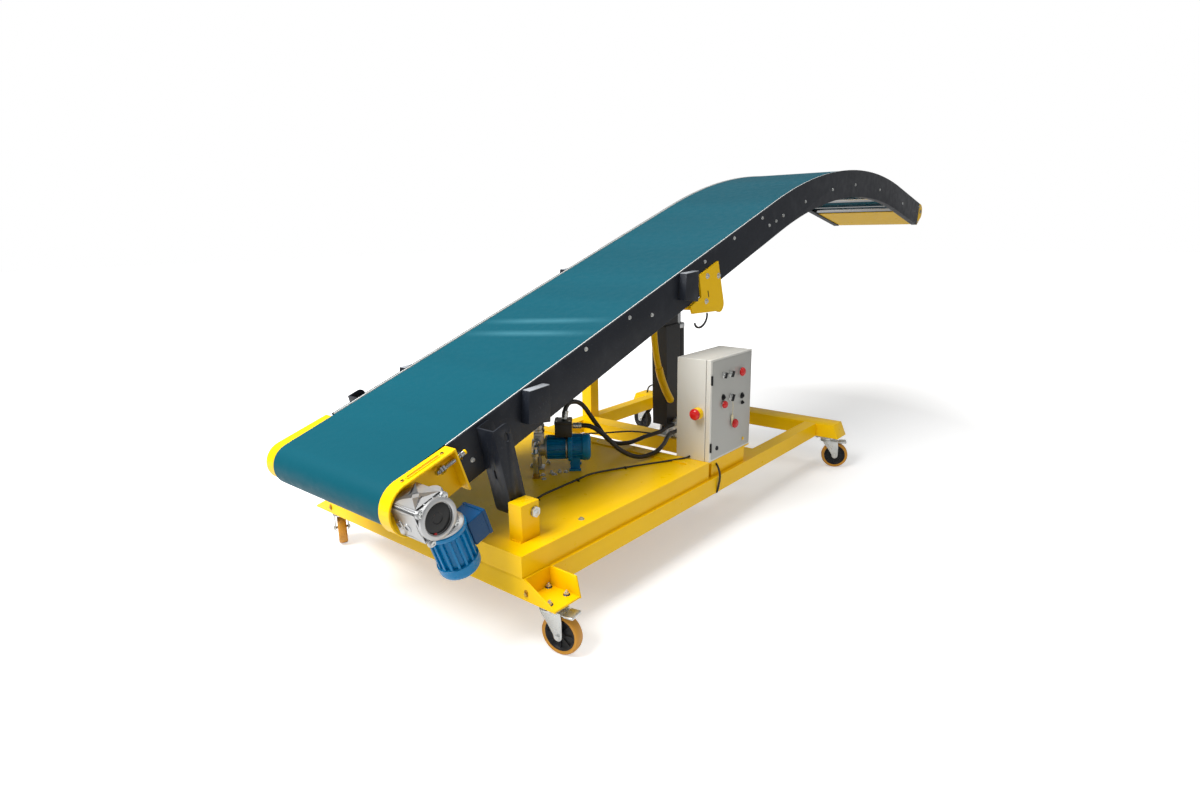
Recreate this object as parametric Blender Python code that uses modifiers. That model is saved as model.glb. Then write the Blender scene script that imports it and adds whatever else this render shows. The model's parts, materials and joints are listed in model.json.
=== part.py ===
"""Mobile truck loading conveyor with a tilting arched boom on a castored base.

Units are metres, +Z is up, +X runs from the tail to the head, and the drive is on the -Y side.
Sizes and places are given from the front face of the front crossbeam and the floor, and the
base frame that carries every piece puts the middle of the whole length at X = 0.
The boom is modelled in its own frame: its origin is the tilt axis, x runs up the incline
and z is square to the belt.
"""
import math

import bmesh
import bpy
from mathutils import Matrix, Vector

# Small gap between pieces that touch
GAP = 0.0003

# Castors
WHEEL_RADIUS = 0.0625
WHEEL_WIDTH = 0.032
TREAD_DEPTH = 0.013
HUB_BORE = 0.0056
AXLE_RADIUS = 0.005
CASTOR_TRAIL = 0.040
CASTOR_PLATE = 0.094
CASTOR_PLATE_THICKNESS = 0.006
RACE_RADIUS = 0.030
RACE_HEIGHT = 0.018
CROWN_THICKNESS = 0.007
CROWN_CLEARANCE = 0.0055
FORK_CLEARANCE = 0.0055
FORK_THICKNESS = 0.004
BEARING_GAP = 0.0005

# Base frame
BEAM_LENGTH = 1.250
BEAM_WIDTH = 0.110
BEAM_HEIGHT = 0.065
BEAM_BEVEL = 0.0275
BEAM_WALL = 0.006
BEAM_POCKET = 0.085
REAR_BEAM_X = 2.006
TUBE_WIDTH = 0.060
TUBE_WALL = 0.004
TUBE_BESIDE_DECK = 0.013
DECK_LENGTH = 1.005
DECK_HALF_WIDTH = 0.501
DECK_HEIGHT = 0.066
DECK_RAIL = 0.060
DECK_SHEET = 0.005
DECK_RECESS = 0.005
LIFT_MEMBER_WIDTH = 0.090
POST_X = 1.460
POST_SIZE = 0.060
POST_ARM_WIDTH = 0.034
POST_ARM_INSIDE_FRAME = 0.025
POST_ARM_HEIGHT = 0.040
POST_TOP_GAP = 0.020

# Tilt axis
TILT_X = 0.1225
TILT_Z = 0.3725
SLOPE = math.radians(19.2)
TILT_LOW = math.radians(-2.5)
PIN_RADIUS = 0.011
PIN_HEAD_RADIUS = 0.017
PIN_HEAD = 0.008
PIN_PLAY = 0.0004
BLOCK_LENGTH = 0.0735
BLOCK_WIDTH = 0.055
BLOCK_FRONT_X = 0.069
BLOCK_TOP_OVER_AXIS = 0.0325
BLOCK_CLEARANCE = 0.005

# Boom, in the boom's frame
BELT_LINE = 0.2777
FRAME_DEPTH = 0.148
FRAME_SHEET = 0.006
FRAME_LIP = 0.030
FRAME_TAIL = -0.112
ARC_START = 2.000
ARC_RADIUS = 3.350
ARC_ANGLE = math.radians(30.7)
ARC_STEPS = 14
HEAD_RUN = 0.520
BELT_CLEARANCE = 0.009
BELT_THICKNESS = 0.003
BELT_DROP = 0.002
RETURN_DEPTH = 0.100
RETURN_SETTLE = 0.280
DRUM_RADIUS = 0.0660
DRUM_X = -0.2943
DRUM_INSIDE_BELT = 0.006
SHAFT_RADIUS = 0.0150
HEAD_ROLLER_RADIUS = 0.0450
HEAD_STUB_RADIUS = 0.0125
HEAD_STUB_REACH = 0.006
GUARD_LENGTH = 0.030
BED_SHEET = 0.003
BED_TAIL = -0.215
BED_HEAD_GAP = 0.060
TIE_WIDTH = 0.040
TIE_DEPTH = 0.030
TIE_PLACES = (-0.02, 0.55, 1.12, 1.70, 2.28, 2.86, 3.44)
RETURN_ROLLER_RADIUS = 0.0190
RETURN_ROLLER_GAP = 0.0009
RETURN_ROLLER_PLACES = (0.31, 0.71, 1.11, 1.51, 1.91, 2.31, 2.71, 3.11, 3.50, 3.85)
ROLLER_RAIL_WIDTH = 0.006
ROLLER_RAIL_DEPTH = 0.012
ROLLER_PIN_RADIUS = 0.005
HEAD_BAR_PLACE = 3.700
HEAD_BAR_WIDTH = 0.028
HEAD_BAR_DEPTH = 0.016
HEAD_PANEL_LENGTH = 0.428
HEAD_PANEL_SHEET = 0.004
HEAD_PANEL_GAP = 0.020
CLAMP_PLACES = (0.245, 1.155)
CLAMP_WIDTH = 0.075
CLAMP_REACH = 0.034
CLAMP_DEPTH = 0.105
CLAMP_SLANT = 0.030

# Tail bracket
BRACKET_WEB = 0.008
BRACKET_RIM = 0.006
BRACKET_REACH = 0.046
BRACKET_NOSE = 0.0775
# Nose radius and drop of the top edge below the belt line
BRACKETS = {"near": (BRACKET_NOSE, 0.0), "far": (0.0640, 0.012)}
TAKE_UP_RADIUS = 0.007
TAKE_UP_DEPTH = 0.037
TAKE_UP_LENGTH = 0.085

# Pivot legs
LEG_WIDTH = 0.062
LEG_DEPTH = 0.0757
LEG_CLEARANCE = 0.006
LEG_SHEET = 0.006
LEG_LEAN = 0.030
LEG_TOP_DEPTH = 0.010

# Drive
GEARBOX_HALF_X = 0.049
GEARBOX_BELOW = 0.060
GEARBOX_ABOVE = 0.049
GEARBOX_WIDTH = 0.096
GEARBOX_BESIDE_FRAME = 0.013
GEARBOX_COVER_RADIUS = 0.058
GEARBOX_COVER_DEPTH = 0.012
GEARBOX_BORE = 0.0155
GEARBOX_RECESS_RADIUS = 0.046
GEARBOX_RECESS_DEPTH = 0.012
MOTOR_FLANGE_RADIUS = 0.062
MOTOR_FLANGE = 0.022
MOTOR_RADIUS = 0.059
MOTOR_LENGTH = 0.115
MOTOR_RIBS = 18
MOTOR_RIB_HEIGHT = 0.006
MOTOR_RIB_WIDTH = 0.004
COWL_RADIUS = 0.066
COWL_LENGTH = 0.052
TERMINAL_BOX = (0.062, 0.090, 0.080)

# Lift
LIFT_Y = -0.030
LIFT_FOOT_X = 1.410
LIFT_FOOT_OVER_MEMBER = 0.042
LIFT_EYE_ALONG = 1.360
LIFT_EYE_HEIGHT = 0.040
LIFT_TUBE_X = 0.110
LIFT_TUBE_Y = 0.080
LIFT_TUBE_WALL = 0.006
LIFT_TUBE_START = 0.022
LIFT_TUBE_END = 0.478
LIFT_SLIDE_PLAY = 0.0010
LIFT_INNER_START = 0.160
LIFT_INNER_WALL = 0.006
LIFT_CYLINDER_RADIUS = 0.033
LIFT_CYLINDER_OFFSET = 0.0900
LIFT_CYLINDER_START = 0.030
LIFT_CYLINDER_END = 0.462
LIFT_ROD_RADIUS = 0.018
LIFT_ROD_START = 0.120
LIFT_CYLINDER_BORE = 0.0200
LIFT_STRAP_HEIGHTS = (0.080, 0.420)
LIFT_STRAP_WIDTH = 0.030
LIFT_HEAD_THICKNESS = 0.022
LIFT_HEAD_BELOW_EYE = 0.026
LIFT_LUG_THICKNESS = 0.020
LIFT_EYE_RADIUS = 0.024
LIFT_FOOT_PIN_RADIUS = 0.010
LIFT_FOOT_HALF_LENGTH = 0.040
LIFT_FOOT_HALF_WIDTH = 0.050
LIFT_FOOT_PLATE = 0.008
LIFT_FOOT_EYE_RADIUS = 0.018
LIFT_PIN_RADIUS = 0.014
LIFT_CHEEK = 0.010
LIFT_CHEEK_GAP = 0.0055
PORT_BLOCK_X = 1.390
PORT_BLOCK_LENGTH = 0.036
PORT_BLOCK_HEIGHT = 0.090
CROSSHEAD_PLATE = 0.008
CROSSHEAD_LOBE = 0.034
CROSSHEAD_FRONT = 1.150
CROSSHEAD_STEP = 1.232
CROSSHEAD_TOP_FRONT = 1.243
CROSSHEAD_TOP_BACK = 1.400
CROSSHEAD_OVER_EDGE = 0.088
CROSSHEAD_BELOW_EDGE = 0.038
CROSSHEAD_TIE_ALONG = 1.172
CROSSHEAD_TIE_DROP = 0.0220
CROSSHEAD_TIE_RADIUS = 0.0100

# Cabinet
CABINET_WIDTH = 0.320
CABINET_DEPTH = 0.150
CABINET_HEIGHT = 0.400
CABINET_WALL = 0.004
DOOR_THICKNESS = 0.020
DOOR_GAP = 0.0020
STOP_BASE_RADIUS = 0.0235
STOP_HEAD_RADIUS = 0.0225
STOP_BASE_HEIGHT = 0.022
STOP_HEAD_HEIGHT = 0.018
STOP_FROM_DOOR = 0.030
STOP_ABOVE_DECK = 0.1904
STAND_PLATE = 0.006
STAND_INSET = 0.030
DOOR_SKIN = 0.003
# Column and row as shares of the door, radius, reach
DOOR_CONTROLS = (
    (0.29, 0.824, 0.014, 0.016),
    (0.46, 0.816, 0.014, 0.016),
    (0.71, 0.806, 0.018, 0.024),
    (0.29, 0.606, 0.0115, 0.016),
    (0.29, 0.536, 0.015, 0.024),
    (0.48, 0.576, 0.014, 0.018),
    (0.76, 0.551, 0.012, 0.014),
    (0.77, 0.479, 0.008, 0.008),
    (0.56, 0.299, 0.019, 0.026),
)

# Hydraulic unit
UNIT_X = 0.655
UNIT_Y = -0.100
UNIT_Z = 0.372
UNIT_TURN = math.radians(-50.0)
UNIT_SHIELD_RADIUS = 0.056
UNIT_SHIELD_LENGTH = 0.018
UNIT_MOTOR_RADIUS = 0.050
UNIT_MOTOR_LENGTH = 0.040
UNIT_COWL_LENGTH = 0.030
UNIT_COWL_TAPER = 0.012
UNIT_FOOT_HALF_WIDTH = 0.045
UNIT_BOX = (0.066, 0.070, 0.062)
FINNED_RADIUS = 0.040
FINNED_LENGTH = 0.082
FIN_HEIGHT = 0.006
FIN_WIDTH = 0.004
FIN_COUNT = 14
PUMP_LENGTH = 0.055
PUMP_RADIUS = 0.034
VALVE_BOX = (0.038, 0.052, 0.062)
CAP_RADIUS = 0.022
CAP_HEIGHT = 0.036
SUCTION_REACH = 0.110
SUCTION_HEIGHT = 0.030
SUCTION_RADIUS = 0.011

COLOURS = {
    "yellow": ((0.90, 0.63, 0.0, 1.0), 0.35, 0.0),
    "anthracite": ((0.022, 0.027, 0.036, 1.0), 0.40, 0.0),
    "teal_belt": ((0.020, 0.205, 0.270, 1.0), 0.65, 0.0),
    "motor_blue": ((0.0, 0.130, 0.330, 1.0), 0.40, 0.0),
    "cast_aluminium": ((0.52, 0.53, 0.53, 1.0), 0.45, 0.9),
    "zinc": ((0.62, 0.62, 0.60, 1.0), 0.35, 0.9),
    "roller_steel": ((0.50, 0.50, 0.50, 1.0), 0.30, 1.0),
    "cabinet_paint": ((0.74, 0.73, 0.68, 1.0), 0.45, 0.0),
    "door_paint": ((0.46, 0.46, 0.43, 1.0), 0.45, 0.0),
    "red_plastic": ((0.62, 0.01, 0.01, 1.0), 0.35, 0.0),
    "black_rubber": ((0.010, 0.010, 0.011, 1.0), 0.55, 0.0),
    "black_paint": ((0.015, 0.015, 0.016, 1.0), 0.35, 0.0),
    "amber_tread": ((0.62, 0.27, 0.02, 1.0), 0.45, 0.0),
}

SIDES = {"near": -1.0, "far": 1.0}
MATERIALS = {}


def clear_scene():
    """Remove the scene's objects."""
    for obj in list(bpy.data.objects):
        bpy.data.objects.remove(obj, do_unlink=True)


def new_collection(name):
    """Make a collection under the scene's own."""
    collection = bpy.data.collections.new(name)
    bpy.context.scene.collection.children.link(collection)
    return collection


def make_materials():
    """Make one Principled material for each entry in the colour table."""
    for name, (colour, roughness, metallic) in COLOURS.items():
        material = bpy.data.materials.new(name)
        material.use_nodes = True
        shader = material.node_tree.nodes["Principled BSDF"]
        shader.inputs["Base Color"].default_value = colour
        shader.inputs["Roughness"].default_value = roughness
        shader.inputs["Metallic"].default_value = metallic
        material.diffuse_color = colour
        MATERIALS[name] = material


def joint_frame(name, place, rotation=(0.0, 0.0, 0.0), parent=None):
    """Make an empty that stands on a joint's axis."""
    empty = bpy.data.objects.new(name, None)
    empty.location = place
    empty.rotation_euler = rotation
    empty.parent = parent or BASE
    CUTTERS.objects.link(empty)
    return empty


def solid(mesh, frame):
    """Wrap a mesh in an unnamed object that lies in a joint's frame."""
    obj = bpy.data.objects.new("piece", mesh)
    obj.parent = frame or BASE
    CUTTERS.objects.link(obj)
    obj.hide_render = True
    obj.display_type = "WIRE"
    return obj


def finished(obj, name, material, smooth_angle=None):
    """Name a piece, give it its material and move it to the conveyor's collection."""
    obj.name = name
    obj.data.name = name
    obj.data.materials.clear()
    obj.data.materials.append(MATERIALS[material])
    obj.hide_render = False
    obj.display_type = "TEXTURED"
    CUTTERS.objects.unlink(obj)
    PARTS.objects.link(obj)
    if smooth_angle is not None:
        obj.data.shade_smooth()
        obj.data.set_sharp_from_angle(angle=math.radians(smooth_angle))
    return obj


def box(low, high, frame=None):
    """Make a box between two corners."""
    low = Vector(low)
    high = Vector(high)
    mesh = bpy.data.meshes.new("box")
    shape = bmesh.new()
    place = Matrix.Translation((low + high) / 2) @ Matrix.Diagonal((*(high - low), 1.0))
    bmesh.ops.create_cube(shape, size=1.0, matrix=place)
    shape.to_mesh(mesh)
    shape.free()
    return solid(mesh, frame)


AXIS_TURN = {
    "X": Matrix.Rotation(math.radians(90), 4, "Y"),
    "Y": Matrix.Rotation(math.radians(-90), 4, "X"),
    "Z": Matrix.Identity(4),
}


def cylinder(centre, radius, length, axis="Y", frame=None, sides=32, top_radius=None):
    """Make a capped cylinder, or a cone frustum, centred on a point."""
    mesh = bpy.data.meshes.new("cylinder")
    shape = bmesh.new()
    end_radius = radius if top_radius is None else top_radius
    place = Matrix.Translation(centre) @ AXIS_TURN[axis]
    bmesh.ops.create_cone(shape, cap_ends=True, segments=sides, radius1=radius,
                          radius2=end_radius, depth=length, matrix=place)
    shape.to_mesh(mesh)
    shape.free()
    return solid(mesh, frame)


PLANE_TURN = {
    "XZ": Matrix.Rotation(math.radians(90), 4, "X"),
    "YZ": Matrix(((0, 0, 1, 0), (1, 0, 0, 0), (0, 1, 0, 0), (0, 0, 0, 1))),
    "XY": Matrix.Identity(4),
}
PLANE_NORMAL = {"XZ": Vector((0, 1, 0)), "YZ": Vector((1, 0, 0)), "XY": Vector((0, 0, 1))}


def prism(outlines, start, end, plane="XZ", frame=None):
    """Extrude a flat outline, with its inner outlines as holes, from start to end.

    The outline is a flat curve; it is turned into a mesh so that it can be cut and joined.
    """
    curve = bpy.data.curves.new("outline", "CURVE")
    curve.dimensions = "2D"
    curve.fill_mode = "BOTH"
    curve.extrude = abs(end - start) / 2
    for outline in outlines:
        spline = curve.splines.new("POLY")
        spline.points.add(len(outline) - 1)
        for point, (u, v) in zip(spline.points, outline):
            point.co = (u, v, 0.0, 1.0)
        spline.use_cyclic_u = True
    drawn = bpy.data.objects.new("outline", curve)
    CUTTERS.objects.link(drawn)
    bpy.context.view_layer.update()
    evaluated = drawn.evaluated_get(bpy.context.evaluated_depsgraph_get())
    mesh = bpy.data.meshes.new_from_object(evaluated)
    bpy.data.objects.remove(drawn, do_unlink=True)
    bpy.data.curves.remove(curve)
    shape = bmesh.new()
    shape.from_mesh(mesh)
    bmesh.ops.remove_doubles(shape, verts=shape.verts, dist=1e-6)
    middle = PLANE_NORMAL[plane] * ((start + end) / 2)
    bmesh.ops.transform(shape, matrix=Matrix.Translation(middle) @ PLANE_TURN[plane], verts=shape.verts)
    bmesh.ops.recalc_face_normals(shape, faces=shape.faces)
    shape.to_mesh(mesh)
    shape.free()
    return solid(mesh, frame)


def turned(profile, centre, axis="Y", frame=None, steps=28):
    """Turn a closed profile of (radius, height) points about an axis.

    The profile runs down its outer side and back up its inner side.
    """
    mesh = bpy.data.meshes.new("profile")
    shape = bmesh.new()
    points = [shape.verts.new((radius, 0.0, height)) for radius, height in profile]
    for first, second in zip(points, points[1:] + points[:1]):
        shape.edges.new((first, second))
    shape.to_mesh(mesh)
    shape.free()
    obj = solid(mesh, frame)
    screw = obj.modifiers.new("turn", "SCREW")
    screw.axis = "Z"
    screw.steps = steps
    screw.render_steps = steps
    screw.use_merge_vertices = True
    screw.merge_threshold = 0.00001
    return baked(obj, Matrix.Translation(centre) @ AXIS_TURN[axis])


def baked(obj, place=None):
    """Replace an object's mesh with its evaluated mesh, in its own frame."""
    bpy.context.view_layer.update()
    evaluated = obj.evaluated_get(bpy.context.evaluated_depsgraph_get())
    mesh = bpy.data.meshes.new_from_object(evaluated)
    if place is not None:
        mesh.transform(place)
    obj.modifiers.clear()
    obj.data = mesh
    return obj


def boolean(target, tools, operation):
    """Join or cut a piece with other pieces."""
    for tool in tools:
        modifier = target.modifiers.new(operation.lower(), "BOOLEAN")
        modifier.operation = operation
        modifier.solver = "EXACT"
        modifier.object = tool
    return target


def join(target, *tools):
    """Join pieces into the first one."""
    return boolean(target, tools, "UNION")


def cut(target, *tools):
    """Cut the later pieces out of the first one."""
    return boolean(target, tools, "DIFFERENCE")


def rectangle(low_u, low_v, high_u, high_v):
    """List a rectangle's corners."""
    return [(low_u, low_v), (high_u, low_v), (high_u, high_v), (low_u, high_v)]


def arc(centre_u, centre_v, radius, start, end, steps):
    """List the points of an arc, angles in degrees."""
    points = []
    for step in range(steps + 1):
        angle = math.radians(start + (end - start) * step / steps)
        points.append((centre_u + radius * math.cos(angle), centre_v + radius * math.sin(angle)))
    return points


# Heights that follow from the sizes above
BEAM_BOTTOM = (2 * WHEEL_RADIUS + CROWN_CLEARANCE + CROWN_THICKNESS + BEARING_GAP
               + RACE_HEIGHT + CASTOR_PLATE_THICKNESS + GAP)
BEAM_TOP = BEAM_BOTTOM + BEAM_HEIGHT
DECK_TOP = BEAM_TOP + GAP + DECK_HEIGHT
DECK_FLOOR = DECK_TOP - DECK_RECESS
TUBE_START_X = BEAM_WIDTH + GAP
TUBE_END_X = REAR_BEAM_X - GAP
TUBE_OUTER_Y = DECK_HALF_WIDTH + TUBE_BESIDE_DECK
TUBE_INNER_Y = TUBE_OUTER_Y - TUBE_WIDTH
BLOCK_INNER_Y = DECK_HALF_WIDTH - DECK_RAIL - BLOCK_CLEARANCE - BLOCK_WIDTH
LEG_OUTER_Y = BLOCK_INNER_Y - LEG_CLEARANCE
LEG_INNER_Y = LEG_OUTER_Y - LEG_DEPTH
FRAME_OUTER_Y = LEG_INNER_Y - GAP
FRAME_INNER_Y = FRAME_OUTER_Y - FRAME_SHEET
BELT_HALF_WIDTH = FRAME_INNER_Y - BELT_CLEARANCE
DRUM_HALF_WIDTH = BELT_HALF_WIDTH - DRUM_INSIDE_BELT
GEARBOX_FAR_Y = -FRAME_OUTER_Y - GEARBOX_BESIDE_FRAME
GEARBOX_NEAR_Y = GEARBOX_FAR_Y - GEARBOX_WIDTH
CASTOR_Y = BEAM_LENGTH / 2 - BEAM_BEVEL - CASTOR_PLATE / 2
SWIVELS = {
    "front_near": (BEAM_WIDTH / 2, -CASTOR_Y, -80.0),
    "front_far": (BEAM_WIDTH / 2, CASTOR_Y, 62.0),
    "rear_near": (REAR_BEAM_X + BEAM_WIDTH / 2, -CASTOR_Y, -65.0),
    "rear_far": (REAR_BEAM_X + BEAM_WIDTH / 2, CASTOR_Y, 80.0),
}
LIFT_FOOT_Z = BEAM_TOP + LIFT_FOOT_OVER_MEMBER


def boom_to_world(along, height):
    """Turn a point of the boom's frame into world X and Z."""
    world_x = TILT_X + along * math.cos(SLOPE) - height * math.sin(SLOPE)
    world_z = TILT_Z + along * math.sin(SLOPE) + height * math.cos(SLOPE)
    return world_x, world_z


EYE_X, EYE_Z = boom_to_world(LIFT_EYE_ALONG, LIFT_EYE_HEIGHT)
LIFT_LENGTH = math.hypot(EYE_X - LIFT_FOOT_X, EYE_Z - LIFT_FOOT_Z)
LIFT_LEAN = math.atan2(EYE_X - LIFT_FOOT_X, EYE_Z - LIFT_FOOT_Z)
BELT_TOP_DEPTH = BELT_DROP
BED_DEPTH = BELT_TOP_DEPTH + BELT_THICKNESS + GAP
DRUM_DEPTH = BELT_TOP_DEPTH + BELT_THICKNESS + GAP + DRUM_RADIUS
HEAD_DEPTH = BELT_TOP_DEPTH + BELT_THICKNESS + GAP + HEAD_ROLLER_RADIUS
ARC_LENGTH = ARC_RADIUS * ARC_ANGLE
HEAD_AT = ARC_START + ARC_LENGTH + HEAD_RUN


def boom_point(along, depth):
    """Give the boom-frame point at a distance along the belt line and a depth below it."""
    if along <= ARC_START:
        return along, BELT_LINE - depth
    turn = min(along - ARC_START, ARC_LENGTH) / ARC_RADIUS
    reach = ARC_RADIUS - depth
    x = ARC_START + reach * math.sin(turn)
    z = BELT_LINE - ARC_RADIUS + reach * math.cos(turn)
    past = max(along - ARC_START - ARC_LENGTH, 0.0)
    return x + past * math.cos(turn), z - past * math.sin(turn)


DRUM_CENTRE = boom_point(DRUM_X, DRUM_DEPTH)
HEAD_CENTRE = boom_point(HEAD_AT, HEAD_DEPTH)
# Half way between the tail brackets' noses and the head guard's tip
MIDDLE_X = (boom_to_world(*DRUM_CENTRE)[0] - BRACKET_NOSE + boom_to_world(*HEAD_CENTRE)[0] + HEAD_DEPTH) / 2


def stations(start, end):
    """List distances along the boom between two ends, close together on its arch."""
    places = [start]
    for step in range(ARC_STEPS + 1):
        place = ARC_START + ARC_LENGTH * step / ARC_STEPS
        if start + 0.001 < place < end - 0.001:
            places.append(place)
    places.append(end)
    return places


def strip(start, end, top, bottom):
    """Outline a strip of the boom between two depths."""
    upper = [boom_point(place, top) for place in stations(start, end)]
    lower = [boom_point(place, bottom) for place in stations(start, end)]
    return upper + lower[::-1]


def mirrored_span(side, inner, outer):
    """Order two distances from the centre line into a low and a high Y on one side."""
    return sorted((side * inner, side * outer))


def build_crossbeams():
    """Build the two upward-opening crossbeams that carry the castors."""
    half = BEAM_LENGTH / 2
    section = [(-half, BEAM_BOTTOM), (half, BEAM_BOTTOM),
               (half - BEAM_BEVEL, BEAM_TOP), (-half + BEAM_BEVEL, BEAM_TOP)]
    for name, front in (("front_crossbeam", 0.0), ("rear_crossbeam", REAR_BEAM_X)):
        beam = prism([section], front, front + BEAM_WIDTH, "YZ")
        for side in SIDES.values():
            slant = BEAM_BEVEL / BEAM_HEIGHT
            floor = BEAM_BOTTOM + BEAM_WALL
            rise = BEAM_HEIGHT
            outer_low = half - BEAM_WALL - slant * BEAM_WALL
            outer_high = outer_low - slant * rise
            inner = half - BEAM_BEVEL - BEAM_POCKET
            pocket = [(side * inner, floor), (side * outer_low, floor),
                      (side * outer_high, floor + rise), (side * inner, floor + rise)]
            tool = prism([pocket], front + BEAM_WALL, front + BEAM_WIDTH - BEAM_WALL, "YZ")
            cut(beam, tool)
        finished(beam, name, "yellow")


def build_side_tubes():
    """Build the two long tubes between the crossbeams."""
    for name, side in SIDES.items():
        low, high = mirrored_span(side, TUBE_INNER_Y, TUBE_OUTER_Y)
        outer = rectangle(low, BEAM_BOTTOM, high, BEAM_TOP)
        inner = rectangle(low + TUBE_WALL, BEAM_BOTTOM + TUBE_WALL, high - TUBE_WALL, BEAM_TOP - TUBE_WALL)
        tube = prism([outer, inner], TUBE_START_X, TUBE_END_X, "YZ")
        finished(tube, name + "_side_tube", "yellow")


def build_deck():
    """Build the raised deck: a rail frame and the sheet let into it."""
    outer = rectangle(0.0, -DECK_HALF_WIDTH, DECK_LENGTH, DECK_HALF_WIDTH)
    inner = rectangle(DECK_RAIL, -DECK_HALF_WIDTH + DECK_RAIL,
                      DECK_LENGTH - DECK_RAIL, DECK_HALF_WIDTH - DECK_RAIL)
    rails = prism([outer, inner], BEAM_TOP + GAP, DECK_TOP, "XY")
    finished(rails, "deck_frame", "yellow")
    sheet_edge = DECK_RAIL + GAP
    sheet = box((sheet_edge, -DECK_HALF_WIDTH + sheet_edge, DECK_FLOOR - DECK_SHEET),
                (DECK_LENGTH - sheet_edge, DECK_HALF_WIDTH - sheet_edge, DECK_FLOOR))
    finished(sheet, "deck_plate", "yellow")


def build_lift_member():
    """Build the tube across the base that carries the lift."""
    centre = LIFT_FOOT_X
    half = LIFT_MEMBER_WIDTH / 2
    outer = rectangle(centre - half, BEAM_BOTTOM, centre + half, BEAM_TOP)
    inner = rectangle(centre - half + TUBE_WALL, BEAM_BOTTOM + TUBE_WALL,
                      centre + half - TUBE_WALL, BEAM_TOP - TUBE_WALL)
    reach = TUBE_INNER_Y - GAP
    finished(prism([outer, inner], -reach, reach, "XZ"), "lift_cross_member", "yellow")


def post_top():
    """Give the height at which the lowered boom's far side frame would rest."""
    lean = SLOPE + TILT_LOW
    depth_height = BELT_LINE - FRAME_DEPTH
    reach = POST_X - TILT_X
    along = (reach + depth_height * math.sin(lean)) / math.cos(lean)
    return TILT_Z + along * math.sin(lean) + depth_height * math.cos(lean)


def build_rest_post():
    """Build the far post with the arm that the lowered boom comes down to."""
    half = POST_SIZE / 2
    centre_y = TUBE_OUTER_Y - TUBE_WIDTH / 2
    top = post_top() - POST_TOP_GAP
    post = box((POST_X - half, centre_y - half, BEAM_TOP + GAP), (POST_X + half, centre_y + half, top))
    arm = box((POST_X + half - POST_ARM_WIDTH, FRAME_OUTER_Y - POST_ARM_INSIDE_FRAME, top - POST_ARM_HEIGHT),
              (POST_X + half - 0.001, centre_y, top - 0.001))
    join(post, arm)
    finished(post, "rest_post", "yellow")


def build_pivot_blocks():
    """Build the blocks on the deck's front corners and the pins of the tilt axis."""
    for name, side in SIDES.items():
        low, high = mirrored_span(side, BLOCK_INNER_Y, BLOCK_INNER_Y + BLOCK_WIDTH)
        block = box((BLOCK_FRONT_X, low, DECK_FLOOR + GAP),
                    (BLOCK_FRONT_X + BLOCK_LENGTH, high, TILT_Z + BLOCK_TOP_OVER_AXIS))
        centre = (TILT_X, (low + high) / 2, TILT_Z)
        cut(block, cylinder(centre, PIN_RADIUS + GAP, BLOCK_WIDTH * 2, sides=24))
        finished(block, "pivot_block_" + name, "yellow")
        inner_end = side * (LEG_INNER_Y + 0.004)
        head_start = side * (BLOCK_INNER_Y + BLOCK_WIDTH + GAP)
        head_end = head_start + side * PIN_HEAD
        shank = cylinder((TILT_X, (inner_end + head_end) / 2, TILT_Z), PIN_RADIUS,
                         abs(head_end - inner_end), sides=24)
        head = cylinder((TILT_X, (head_start + head_end) / 2, TILT_Z), PIN_HEAD_RADIUS,
                        PIN_HEAD, sides=6)
        finished(join(shank, head), "pivot_pin_" + name, "zinc")


def build_cabinet():
    """Build the control cabinet, its stand, its hinged door and the stop button."""
    left = DECK_LENGTH + GAP
    right = left + CABINET_WIDTH
    near = -DECK_HALF_WIDTH
    far = near + CABINET_DEPTH
    bottom = DECK_TOP
    top = bottom + CABINET_HEIGHT
    stand_far = -TUBE_INNER_Y
    plate = box((left, near, bottom - GAP - STAND_PLATE), (right, far, bottom - GAP))
    foot = box((left + STAND_INSET, near + STAND_PLATE, BEAM_TOP + GAP),
               (right - STAND_INSET, stand_far, bottom - GAP - STAND_PLATE / 2))
    finished(join(plate, foot), "cabinet_stand", "yellow")
    front = near + DOOR_THICKNESS + DOOR_GAP
    body = box((left, front, bottom), (right, far, top))
    hollow = box((left + CABINET_WALL, front - 0.01, bottom + CABINET_WALL),
                 (right - CABINET_WALL, far - CABINET_WALL, top - CABINET_WALL))
    finished(cut(body, hollow), "cabinet_body", "cabinet_paint")
    stop_z = bottom + STOP_ABOVE_DECK
    stop_y = front + STOP_FROM_DOOR
    base_back = left - GAP - STOP_BASE_HEIGHT
    base = cylinder((left - GAP - STOP_BASE_HEIGHT / 2, stop_y, stop_z), STOP_BASE_RADIUS,
                    STOP_BASE_HEIGHT, axis="X")
    stem = cylinder((base_back + 0.001 - STOP_HEAD_HEIGHT / 2, stop_y, stop_z), STOP_HEAD_RADIUS,
                    STOP_HEAD_HEIGHT, axis="X")
    finished(join(base, stem), "emergency_stop", "red_plastic")
    hinge = joint_frame("door_hinge", (left - GAP, near - GAP, 0.0))
    skin = box((GAP, GAP, bottom), (CABINET_WIDTH + GAP, DOOR_THICKNESS, top), hinge)
    recess = box((GAP + CABINET_WALL, DOOR_SKIN + GAP, bottom + CABINET_WALL),
                 (CABINET_WIDTH + GAP - CABINET_WALL, DOOR_THICKNESS + 0.01, top - CABINET_WALL), hinge)
    cut(skin, recess)
    for column, row, radius, reach in DOOR_CONTROLS:
        place = (CABINET_WIDTH * column, -reach / 2 + 0.002, bottom + CABINET_HEIGHT * row)
        join(skin, cylinder(place, radius, reach + 0.004, frame=hinge, sides=20))
    finished(skin, "cabinet_door", "door_paint")


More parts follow.
